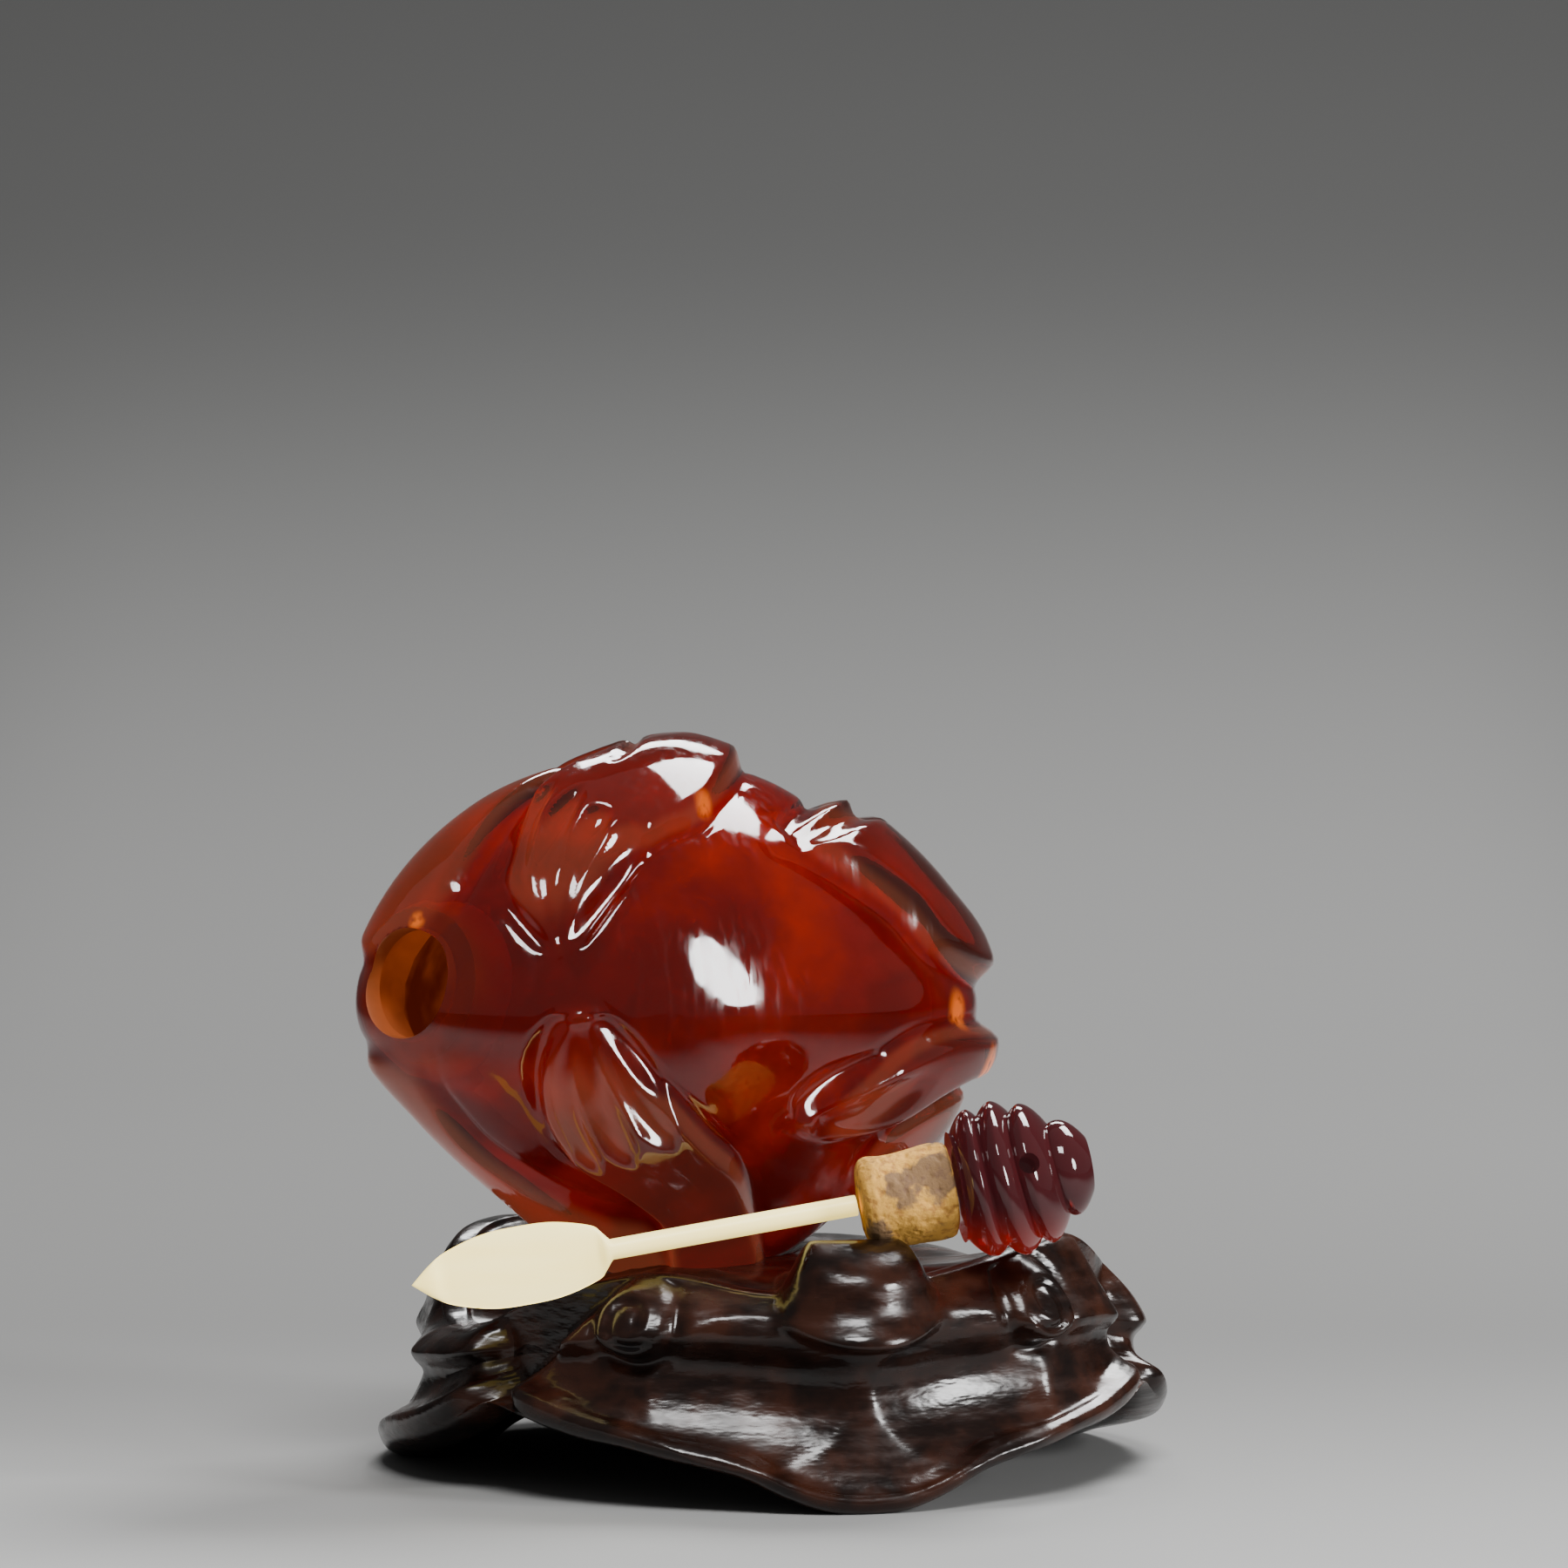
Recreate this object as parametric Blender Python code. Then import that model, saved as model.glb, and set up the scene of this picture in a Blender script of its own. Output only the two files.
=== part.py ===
"""Snuff bottle carved from dark amber, lying on its carved hardwood stand.

The bottle is a yawed, egg-shaped pebble with leaves carved around it and a hollow inside.
In front of it lie its stopper, the cork under the stopper and the small bone spoon.
Units are metres, +Z is up, and the stand's feet touch the plane z = 0.
"""

import math

import bmesh
import bpy
import numpy as np
from mathutils import Matrix, Vector

# Clearances
TOUCH_GAP = 0.0003
SEAT_GAP = 0.0005

# Bottle: its size, and the height of its middle over the table
BOTTLE_LENGTH = 0.0515
BOTTLE_HALF_DEPTH = 0.0192
BOTTLE_YAW_SLOPE = 0.41
BOTTLE_BASE_SHARE = 0.379
BOTTLE_LEFT_OFFSET = 0.0078
BOTTLE_WALL = 0.0036
MOUTH_BORE = 0.0085
MOUTH_LIP_FLARE = 0.0007
MOUTH_LIP_DEPTH = 0.0009
NECK_WALL = 0.0022
THROAT_RADIUS = 0.0062
THROAT_DEPTH = 0.0110
THROAT_EDGE = 0.0004

# Bottle carving: how far each form stands out, and how wide its cut edge is
ARM_RELIEF = 0.0012
FORE_LEAF_RELIEF = 0.0022
HIND_LEAF_RELIEF = 0.0027
TAIL_RELIEF = 0.0016
FLUTE_DEPTH = 0.0011
FLUTE_WIDTH = 0.00115
CUT_EDGE = 0.0015
CUT_EDGE_INSIDE = 0.65
CROWN_DROP = 0.18
CROWN_REACH = 0.0060
ARM_ROOT = 0.0060
TAIL_ROOT = 0.0040
FORE_LEAF_ROOT = 0.0060
HIND_LEAF_ROOT = 0.0100

# Stand: radii and heights of the turned form that the three leaf feet are carved from
STAND_RADIUS = 0.0315
STAND_WAIST_RADIUS = 0.0290
STAND_SHOULDER_RADIUS = 0.0299
STAND_RIM_RADIUS = 0.0256
STAND_RIM_WIDTH = 0.0018
STAND_RIM_DROP = 0.0006
STAND_SHOULDER_DROP = 0.0020
RIM_FADE = 0.0025
STAND_WALL = 0.0027
STAND_SEAT_HEIGHT = 0.0168
STAND_UNDERSIDE_HEIGHT = 0.0098
LIP_HEIGHT = 0.0016
SIDE_LIP_HEIGHT = 0.0024
FOOT_PAD_SINK = 0.00035

# Stand carving: the knob in the middle of the front leaf, its rolled ends and its scoops
KNOB_HEIGHT = 0.0205
KNOB_BASE_HEIGHT = 0.0122
KNOB_HALF_WIDTH = 0.0066
KNOB_RELIEF = 0.0028
VOLUTE_RADIUS = 0.0030
VOLUTE_RELIEF = 0.0010
VOLUTE_PITCH = 0.0017
VOLUTE_GROOVE = 0.00032
LEFT_VOLUTE_HEIGHT = 0.0146
RIGHT_VOLUTE_HEIGHT = 0.0153
SCOOP_OFFSET = 0.0098
SCOOP_HEIGHT = 0.0078
SCOOP_RADIUS = 0.0056
SCOOP_DEPTH = 0.0010
NOTCH_DEPTH = 0.0058
NOTCH_START = 0.0088
VALLEY_DEPTH = 0.0022

# Stand: counts and turns in degrees
FOOT_COUNT = 3
FRONT_FOOT_TURN = 14.0
LEFT_VOLUTE_TURN = -35.4
RIGHT_VOLUTE_TURN = 31.3
NOTCH_HALF_TURN = 3.0
NOTCH_LEAN = 500.0
FRONT_NOTCH_LEAN = 2000.0

# Stopper, cork and spoon share one axis that leans across the front of the stand
STOPPER_LENGTH = 0.0105
STOPPER_RADIUS = 0.0061
STOPPER_HOLE_RADIUS = 0.0008
STOPPER_HOLE_DEPTH = 0.0030
STOPPER_HOLE_SHARE = 0.62
STOPPER_HOLE_HEIGHT = 0.0014
STOPPER_HOLE_INSET = 0.0012
STOPPER_HOLE_TILT = -12.0
RING_COUNT = 4
RING_START = 0.15
RING_RELIEF = 0.0009
RING_LEAN = 0.0011
CORK_LENGTH = 0.0072
CORK_RADIUS = 0.0038
CORK_TIP_RADIUS = 0.0034
CORK_EDGE = 0.0005
CORK_SWELL = 0.03
CORK_RIPPLE = 0.02
CORK_RIPPLE_TWIST = 400.0
SPOON_LENGTH = 0.0348
SPOON_STEM_RADIUS = 0.0008
SPOON_BOWL_LENGTH = 0.0155
SPOON_BOWL_WIDTH = 0.0061
SPOON_BOWL_THICKNESS = 0.0013
SPOON_BOWL_HOLLOW = 0.0004
ASSEMBLY_TILT = 9.6
ASSEMBLY_TURN = 6.0
CORK_END_PLACE = (0.0068, -0.0222, 0.0229)

# Radius of the stopper's bulb from the cork to its end, as shares of its widest radius
BULB_SHARES = (0.80, 0.97, 1.0, 0.93, 0.70, 0.45)
# Half width of the spoon's bowl from its neck to its tip, as shares of its widest half
BOWL_MARKS = (0.0, 0.03, 0.08, 0.26, 0.44, 0.62, 0.8, 0.9, 1.0)
BOWL_SHARES = (0.27, 0.47, 0.70, 0.95, 1.0, 0.95, 0.70, 0.42, 0.06)

# Triangles that each carved surface is brought down to
BOTTLE_TRIANGLES = 3850
STAND_TRIANGLES = 3450

# Outline of the plain egg seen from the front, as shares of the length, every 22.5 degrees
EGG_RADII = (47.2, 40.8, 37.0, 37.0, 37.8, 38.8, 41.7, 45.2,
             48.3, 40.6, 37.4, 39.0, 42.0, 43.0, 42.0, 45.4)

# Carved outlines seen from the front, in hundredths of the bottle's length from its middle
FORE_UPPER_LEAF = ((-16.3, 9.2), (-20.8, 13.6), (-24.6, 19.1), (-24.3, 24), (-22.1, 29.2),
                   (-17, 34.1), (-6.2, 38.4), (-3.1, 42.8), (-1.4, 47.5), (7.5, 47.5),
                   (11.3, 42.1), (10.2, 36.9), (8.1, 33.3), (3.4, 28.5), (-1.1, 26.7),
                   (-5.8, 23.6), (-9.4, 19.8), (-13.2, 14.9))
FORE_LOWER_LEAF = ((-13.6, 2.4), (-17.8, -0.8), (-20.1, -6.1), (-20.2, -11.3), (-18.5, -16.2),
                   (-14, -21.3), (-6.7, -26.2), (-1.5, -31.4), (-0.4, -38), (2, -46.2),
                   (12.9, -46.2), (13.2, -38), (12.2, -31.4), (9.9, -22.7), (5.4, -17.8),
                   (0.3, -11.9), (-3.5, -8.1), (-10.2, 0.5))
HIND_UPPER_LEAF = ((16, 25.5), (18.6, 28.8), (22.5, 31), (25.8, 35.3), (37.3, 33.9),
                   (50.9, 20.4), (57.7, 8.1), (53, 2.7), (48.2, 2), (45.5, 3.1),
                   (38.7, 8.1), (33.3, 14.3), (25.1, 20.4), (19, 23.9))
HIND_LOWER_LEAF = ((17, -17.2), (21, -14.7), (25.1, -12.2), (31.9, -7.5), (37.3, -4.8),
                   (42.8, -4.1), (47.5, -5.2), (53, -5.7), (55.7, -10.9), (53, -15.2),
                   (48.9, -14.1), (43.5, -13), (38.7, -14.4), (31.9, -17.7), (24.4, -19.3))
TAIL_LEAF = ((27.2, -27.4), (30.6, -21), (36.7, -16.6), (43.5, -14.4), (50.9, -16.3),
             (49.6, -24.4), (37.3, -32.6), (29.2, -32.6))
UPPER_ARM = ((-37.3, 9.2), (-34.6, 14.9), (-31.9, 19.1), (-28.8, 24.4), (-25, 29.6),
             (-20.4, 33.3), (-12.9, 36.7), (-4.1, 39.6), (-2.4, 47.5), (-18.3, 46.2),
             (-34.6, 36.7), (-48.2, 24.4), (-53, 13.6), (-46.8, 8.8), (-41.4, 10.9))
LOWER_ARM = ((-37.6, -4.8), (-36.4, -8.8), (-34.6, -12.2), (-29.2, -19), (-23.8, -23.1),
             (-18.3, -26.5), (-10.2, -30.1), (-2.7, -32.6), (-0.7, -44.8), (-18.3, -43.5),
             (-31.9, -33.9), (-44.1, -21.7), (-52.3, -9.5), (-47.5, -6.1), (-42.8, -6.1))
FLUTES = (((-17.7, 10.9), (-22.1, 20.4), (-20.8, 27.8), (-17, 31.9)),
          ((-17.2, 11.5), (-18.2, 20.4), (-16.3, 26.5), (-12.6, 31.2)),
          ((-16.3, 11.5), (-14.5, 20.4), (-11.5, 26.5), (-8.6, 28.5)),
          ((-15.6, 11.5), (-11.5, 19.7), (-7.5, 24.4), (-4.1, 26.5)),
          ((-15.6, 0.7), (-18.9, -6.1), (-18.3, -12.9), (-14, -19.7)),
          ((-14.5, 0), (-15.6, -6.8), (-14.5, -13.6), (-10.2, -20.4)),
          ((-13.2, 0), (-12.1, -6.8), (-9.1, -13.6), (-5.4, -19.3)),
          ((-11.8, 0.7), (-8.1, -5.4), (-4.1, -11.5), (0, -17)),
          ((17, 26.9), (21, 29.2), (27.2, 28.9)),
          ((17.7, 25.5), (23.1, 26.5), (30.6, 25.1)),
          ((19, -15.6), (24.4, -11.5), (31.9, -7.9)),
          ((20.4, -17), (27.2, -14.7), (36, -10.2)))
MOUTH_PLACE = (-41.0, 5.8)

# Heights of the stand's rim and shoulder around the circle, from the front, every 20 degrees
RIM_HEIGHTS = (0.0165, 0.0170, 0.0184, 0.0198, 0.0170, 0.0148, 0.0145, 0.0142, 0.0128,
               0.0162, 0.0175, 0.0175, 0.0184, 0.0172, 0.0124, 0.0128, 0.0160, 0.0178)
SHOULDER_HEIGHTS = (0.0134, 0.0134, 0.0136, 0.0138, 0.0122, 0.0112, 0.0112, 0.0115, 0.0108,
                    0.0115, 0.0118, 0.0118, 0.0110, 0.0105, 0.0102, 0.0106, 0.0124, 0.0136)
# Heights of the stand's lower edge, from the middle of a foot outward, every 6 degrees
FRONT_EDGE_HEIGHTS = (0.0, 0.0003, 0.0014, 0.0029, 0.0037, 0.0043, 0.0050, 0.0054, 0.0060,
                      0.0068, 0.0074)
SIDE_EDGE_HEIGHTS = (0.0, 0.0, 0.0004, 0.0012, 0.0018, 0.0024, 0.0030, 0.0037, 0.0047,
                     0.0060, 0.0074)


def smooth_step(value, low, high):
    """0 below low, 1 above high and an even S between them."""
    share = np.clip((value - low) / (high - low), 0.0, 1.0)
    return share * share * (3.0 - 2.0 * share)


def spline_rows(points, closed, steps):
    """Points along a smooth curve that passes through all the given points."""
    points = np.array(points, float)
    count = len(points)
    rows = []
    for index in range(count if closed else count - 1):
        if closed:
            before, start, end, after = (points[(index + k) % count] for k in (-1, 0, 1, 2))
        else:
            before, start, end, after = (points[min(max(index + k, 0), count - 1)]
                                         for k in (-1, 0, 1, 2))
        for step in range(steps):
            t = step / steps
            rows.append(0.5 * (2 * start + (end - before) * t
                               + (2 * before - 5 * start + 4 * end - after) * t * t
                               + (3 * start - before - 3 * end + after) * t ** 3))
    if not closed:
        rows.append(points[-1])
    return np.array(rows)


def ring_value(values, turns):
    """Smooth value around a closed ring of evenly spaced values; turns runs from 0 to 1."""
    values = np.array(values, float)
    count = len(values)
    place = (turns % 1.0) * count
    index = np.floor(place).astype(int)
    t = place - index
    before, start, end, after = (values[(index + k) % count] for k in (-1, 0, 1, 2))
    return 0.5 * (2 * start + (end - before) * t
                  + (2 * before - 5 * start + 4 * end - after) * t * t
                  + (3 * start - before - 3 * end + after) * t ** 3)


def path_distance(places, path):
    """Distance of each place to the nearest piece of a path, and the share along the path."""
    best = np.full(len(places), 1e9)
    along = np.zeros(len(places))
    for index in range(len(path) - 1):
        start = path[index]
        step = path[index + 1] - start
        t = np.clip(((places - start) @ step) / max(step @ step, 1e-18), 0.0, 1.0)
        gap = np.linalg.norm(places - start - t[:, None] * step, axis=1)
        nearer = gap < best
        best = np.where(nearer, gap, best)
        along = np.where(nearer, (index + t) / (len(path) - 1), along)
    return best, along


def region_depth(places, outline):
    """Distance inside a closed outline, negative outside it."""
    ring = np.vstack([outline, outline[:1]])
    gap, _ = path_distance(places, ring)
    inside = np.zeros(len(places), bool)
    for start, end in zip(ring[:-1], ring[1:]):
        crosses = (start[1] > places[:, 1]) != (end[1] > places[:, 1])
        rise = end[1] - start[1]
        rise = rise if abs(rise) > 1e-15 else 1e-15
        side = start[0] + (places[:, 1] - start[1]) * (end[0] - start[0]) / rise
        inside ^= crosses & (places[:, 0] < side)
    return np.where(inside, gap, -gap)


def egg_radius(x, z):
    """Radius of the plain egg's front outline in the direction of (x, z)."""
    return ring_value(EGG_RADII, np.arctan2(z, x) / math.tau) * BOTTLE_LENGTH / 100.0


def unroll(places):
    """Front-view places laid out flat, so that forms keep their width up to the outline."""
    radius = egg_radius(places[:, 0], places[:, 1])
    reach = np.linalg.norm(places, axis=1) / radius
    wrapped = np.arcsin(np.minimum(reach, 1.0)) / (math.pi / 2)
    beyond = np.maximum(reach - 1.0, 0.0) * 1.5
    return places * ((wrapped + beyond) / np.maximum(reach, 1e-9))[:, None]


def carved_outline(points, closed=True):
    """A carved outline in metres, smoothed and laid out flat."""
    return unroll(spline_rows(np.array(points) * BOTTLE_LENGTH / 100.0, closed, 5))


def leaf_height(places, points, relief, edge, root):
    """A raised leaf with a cut edge, which grows out of the egg at its first point."""
    outline = carved_outline(points)
    depth = region_depth(places, outline)
    rise = smooth_step(depth, (CUT_EDGE_INSIDE - 1.0) * edge, CUT_EDGE_INSIDE * edge)
    crown = 1.0 - CROWN_DROP * (1.0 - smooth_step(depth, 0.0, CROWN_REACH))
    away = np.linalg.norm(places - outline[0], axis=1)
    return relief * rise * crown * smooth_step(away, -0.3 * root, root)


def flute_cut(places, points, width):
    """A hollow flute, narrow and shallow at both ends."""
    gap, along = path_distance(places, carved_outline(points, closed=False))
    spread = width * (0.35 + 0.9 * np.sin(math.pi * np.clip(along, 0, 1) ** 0.8) ** 0.7)
    depth = FLUTE_DEPTH * np.sin(math.pi * np.clip(along * 0.96 + 0.02, 0, 1)) ** 0.6
    return depth * np.clip(1.0 - (gap / spread) ** 2, 0.0, 1.0)


def bottle_relief(places):
    """Height of the carving over the plain egg at flat places on the front or the back."""
    height = np.zeros(len(places))
    for points, relief, root in ((UPPER_ARM, ARM_RELIEF, ARM_ROOT),
                                 (LOWER_ARM, ARM_RELIEF, ARM_ROOT),
                                 (TAIL_LEAF, TAIL_RELIEF, TAIL_ROOT),
                                 (FORE_UPPER_LEAF, FORE_LEAF_RELIEF, FORE_LEAF_ROOT),
                                 (FORE_LOWER_LEAF, FORE_LEAF_RELIEF, FORE_LEAF_ROOT),
                                 (HIND_UPPER_LEAF, HIND_LEAF_RELIEF, HIND_LEAF_ROOT),
                                 (HIND_LOWER_LEAF, HIND_LEAF_RELIEF, HIND_LEAF_ROOT)):
        height = np.maximum(height, leaf_height(places, points, relief, CUT_EDGE, root))
    cut = np.zeros(len(places))
    for points in FLUTES:
        cut = np.maximum(cut, flute_cut(places, points, FLUTE_WIDTH))
    return height - cut


def bottle_surface(directions, carved=True, inset=0.0):
    """Surface points of the egg in the given directions from its middle, before the yaw."""
    across = np.hypot(directions[:, 0], directions[:, 2])
    outline = egg_radius(directions[:, 0], directions[:, 2]) - inset
    half_depth = BOTTLE_HALF_DEPTH - inset
    radius = 1.0 / np.sqrt((across / outline) ** 2 + (directions[:, 1] / half_depth) ** 2)
    if carved:
        front_view = directions[:, (0, 2)] * radius[:, None]
        radius = radius + bottle_relief(unroll(front_view))
    return directions * radius[:, None]


def bottle_middle():
    """The middle of the bottle: its lowest part reaches the stand's seat."""
    height = STAND_SEAT_HEIGHT + SEAT_GAP + BOTTLE_BASE_SHARE * BOTTLE_LENGTH
    return np.array((-BOTTLE_LEFT_OFFSET, 0.0, height))


def bottle_points(directions, carved=True, inset=0.0):
    """Points on the bottle in world places, yawed by leaning its depth along its length."""
    points = bottle_surface(directions, carved, inset)
    points[:, 1] += BOTTLE_YAW_SLOPE * points[:, 0]
    return points + bottle_middle()


def grid_directions(around, rings):
    """Unit directions of a globe whose poles face front and back, poles first and last."""
    rows = [np.array([[0.0, -1.0, 0.0]])]
    turns = np.arange(around) / around * math.tau
    for ring in range(1, rings):
        angle = math.pi * ring / rings
        rows.append(np.column_stack([np.cos(turns) * math.sin(angle),
                                     np.full(around, -math.cos(angle)),
                                     np.sin(turns) * math.sin(angle)]))
    rows.append(np.array([[0.0, 1.0, 0.0]]))
    return np.vstack(rows)


def ring_faces(around, rows):
    """Faces of a closed surface with a pole, a stack of rings and another pole."""
    last = 1 + around * rows
    faces = []
    for k in range(around):
        n = (k + 1) % around
        faces.append((0, 1 + k, 1 + n))
        for row in range(rows - 1):
            a = 1 + row * around
            b = a + around
            faces.append((a + k, b + k, b + n, a + n))
        faces.append((last, last - around + n, last - around + k))
    return faces


def mesh_object(name, points, faces, material):
    """A mesh object with outward faces and smooth shading between its sharp edges."""
    mesh = bpy.data.meshes.new(name)
    mesh.from_pydata([tuple(map(float, p)) for p in points], [], faces)
    work = bmesh.new()
    work.from_mesh(mesh)
    bmesh.ops.recalc_face_normals(work, faces=work.faces)
    work.to_mesh(mesh)
    work.free()
    mesh.materials.append(material)
    thing = bpy.data.objects.new(name, mesh)
    bpy.context.scene.collection.objects.link(thing)
    mesh.shade_smooth()
    mesh.set_sharp_from_angle(angle=math.radians(38))
    return thing


def make_material(name, colour, roughness, transmission=0.0):
    """A Principled material with its colour, roughness and see-through share."""
    material = bpy.data.materials.new(name)
    material.use_nodes = True
    shader = material.node_tree.nodes["Principled BSDF"]
    shader.inputs["Base Color"].default_value = (*colour, 1.0)
    shader.inputs["Roughness"].default_value = roughness
    shader.inputs["Metallic"].default_value = 0.0
    shader.inputs["Transmission Weight"].default_value = transmission
    return material


def thin_out(thing, triangles):
    """Fewer faces where the surface is even, as many where it is carved."""
    have = sum(len(face.vertices) - 2 for face in thing.data.polygons)
    thin = thing.modifiers.new("thin_out", "DECIMATE")
    thin.ratio = min(1.0, triangles / have)
    return thin


def cut_with(thing, cutter):
    """Cuts the cutter's shape out of a thing and hides the cutter."""
    cutter.hide_render = True
    cutter.display_type = "WIRE"
    cut = thing.modifiers.new("cut_" + cutter.name, "BOOLEAN")
    cut.operation = "DIFFERENCE"
    cut.solver = "EXACT"
    cut.object = cutter
    return cut


def lathe(name, rows, around, material, bend=None):
    """A turned solid along +X from rows of (place, radius); bend moves its ring points."""
    points = [(rows[0][0], 0.0, 0.0)]
    for place, radius in rows:
        for k in range(around):
            turn = math.tau * k / around
            point = Vector((place, radius * math.cos(turn), radius * math.sin(turn)))
            points.append(bend(point, turn) if bend else point)
    points.append((rows[-1][0], 0.0, 0.0))
    return mesh_object(name, points, ring_faces(around, len(rows)), material)


def egg_normal(place):
    """Surface place and outward direction of the plain egg's front at a front-view place."""
    x, z = place
    radius = float(egg_radius(np.array([x]), np.array([z]))[0])
    depth = -BOTTLE_HALF_DEPTH * math.sqrt(1.0 - (x * x + z * z) / radius ** 2)
    pull = depth / BOTTLE_HALF_DEPTH ** 2
    normal = Vector((x / radius ** 2 - BOTTLE_YAW_SLOPE * pull, pull, z / radius ** 2))
    point = Vector((x, depth + BOTTLE_YAW_SLOPE * x, z)) + Vector(bottle_middle())
    return point, normal.normalized()


def make_bottle(amber):
    """The amber bottle: carved egg, hollow inside, open at the mouth on its left end."""
    around = 180
    rings = 90
    points = bottle_points(grid_directions(around, rings))
    bottle = mesh_object("bottle", points, ring_faces(around, rings - 1), amber)
    thin_out(bottle, BOTTLE_TRIANGLES)
    hollow_points = bottle_points(grid_directions(20, 10), False, BOTTLE_WALL)
    hollow = mesh_object("cutter_hollow", hollow_points, ring_faces(20, 9), amber)
    unit = BOTTLE_LENGTH / 100.0
    mouth, outward = egg_normal((MOUTH_PLACE[0] * unit, MOUTH_PLACE[1] * unit))
    bore = MOUTH_BORE / 2
    rows = [(-THROAT_DEPTH, 0.8 * THROAT_RADIUS), (-THROAT_DEPTH / 2, THROAT_RADIUS),
            (-NECK_WALL - THROAT_EDGE, THROAT_RADIUS - THROAT_EDGE), (-NECK_WALL, bore),
            (-MOUTH_LIP_DEPTH, bore), (0.0, bore + MOUTH_LIP_FLARE),
            (MOUTH_LIP_DEPTH, bore + 3 * MOUTH_LIP_FLARE)]
    neck = lathe("cutter_neck", rows, 32, amber)
    neck.matrix_world = (Matrix.Translation(mouth)
                         @ outward.to_track_quat("X", "Z").to_matrix().to_4x4())
    cut_with(bottle, hollow)
    cut_with(bottle, neck)
    return bottle


def foot_turn(turn):
    """Degrees from the middle of the nearest foot, for degrees around the stand."""
    pitch = 360.0 / FOOT_COUNT
    return (turn - FRONT_FOOT_TURN + pitch / 2) % pitch - pitch / 2


def front_share(turn):
    """1 on the front leaf and 0 on the other two."""
    half_leaf = 180.0 / FOOT_COUNT
    off = abs((turn - FRONT_FOOT_TURN + 180.0) % 360.0 - 180.0)
    return 1.0 - float(smooth_step(off, half_leaf - 10.0, half_leaf + 2.0))


def lower_edge_height(turn):
    """Height of the stand's lower edge: down to the table at each foot, up between feet."""
    front = FRONT_EDGE_HEIGHTS
    side = SIDE_EDGE_HEIGHTS
    down = side[-2::-1]
    ring = front + (down + side[1:]) * (FOOT_COUNT - 1) + front[-2:0:-1]
    return float(ring_value(ring, np.array([(turn - FRONT_FOOT_TURN) / 360.0]))[0])


def stand_profile(turn):
    """Radius and height of the stand's section at one turn, from the seat round to below."""
    ring = np.array([turn / 360.0])
    low = lower_edge_height(turn) - FOOT_PAD_SINK
    rim = float(ring_value(RIM_HEIGHTS, ring)[0])
    front = front_share(turn)
    across = abs(math.radians(foot_turn(turn))) * STAND_RADIUS
    knob = front * (1.0 - float(smooth_step(across, 0.55 * KNOB_HALF_WIDTH, KNOB_HALF_WIDTH)))
    rim += max(KNOB_HEIGHT - rim, 0.0) * knob
    shoulder = min(float(ring_value(SHOULDER_HEIGHTS, ring)[0]), rim - STAND_SHOULDER_DROP)
    body = shoulder - low
    drop = rim - shoulder
    lip = SIDE_LIP_HEIGHT + (LIP_HEIGHT - SIDE_LIP_HEIGHT) * front
    flare = max(0.24 * body, lip + 0.5 * LIP_HEIGHT)
    side = STAND_RIM_RADIUS + 0.5 * STAND_RIM_WIDTH * knob
    waist = STAND_WAIST_RADIUS
    swell = STAND_SHOULDER_RADIUS - waist
    brim = STAND_RADIUS - waist
    under = STAND_UNDERSIDE_HEIGHT
    inner = waist - STAND_WALL
    step = under / 8
    return [(0.30 * side, STAND_SEAT_HEIGHT), (0.55 * side, STAND_SEAT_HEIGHT),
            (0.78 * side, min(STAND_SEAT_HEIGHT + STAND_RIM_DROP, rim)),
            (side - STAND_RIM_WIDTH, rim - STAND_RIM_DROP), (side - 0.5 * STAND_RIM_WIDTH, rim),
            (side + 0.35 * STAND_RIM_WIDTH, rim - 0.3 * STAND_RIM_DROP),
            (side + 0.85 * STAND_RIM_WIDTH, shoulder + 0.80 * drop),
            (waist - 0.4 * swell, shoulder + min(0.5 * drop, STAND_SHOULDER_DROP)),
            (waist + 0.9 * swell, shoulder), (waist + swell, low + 0.86 * body),
            (waist + 0.3 * swell, low + 0.68 * body),
            (waist, low + max(0.50 * body, flare + 0.75 * LIP_HEIGHT)),
            (waist + 0.2 * brim, low + max(0.36 * body, flare + 0.40 * LIP_HEIGHT)),
            (waist + 0.5 * brim, low + flare), (waist + 0.75 * brim, low + 1.25 * lip),
            (waist + 0.95 * brim, low + lip), (STAND_RADIUS, low + 0.65 * lip),
            (waist + 0.70 * brim, low + 0.20 * lip), (waist, low),
            (inner, low), (inner - step, low + step),
            (inner - 2 * step, max(0.75 * under, min(low + 3 * step, under))),
            (inner - 5 * step, under), (0.30 * side, under)]


def volute_rise(across, height):
    """A rolled leaf end: a round boss with a spiral groove."""
    gap = np.hypot(across, height)
    boss = 1.0 - smooth_step(gap, 0.85 * VOLUTE_RADIUS, 1.1 * VOLUTE_RADIUS)
    dome = np.sqrt(np.clip(1.0 - (gap / (1.5 * VOLUTE_RADIUS)) ** 2, 0.0, 1.0))
    twist = gap / VOLUTE_PITCH - np.arctan2(height, across) / math.tau
    groove = np.exp(-(((twist % 1.0) - 0.5) / 0.2) ** 2) * smooth_step(gap / VOLUTE_RADIUS, 0.1, 0.3)
    return boss * (VOLUTE_RELIEF * dome - VOLUTE_GROOVE * groove)


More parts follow.
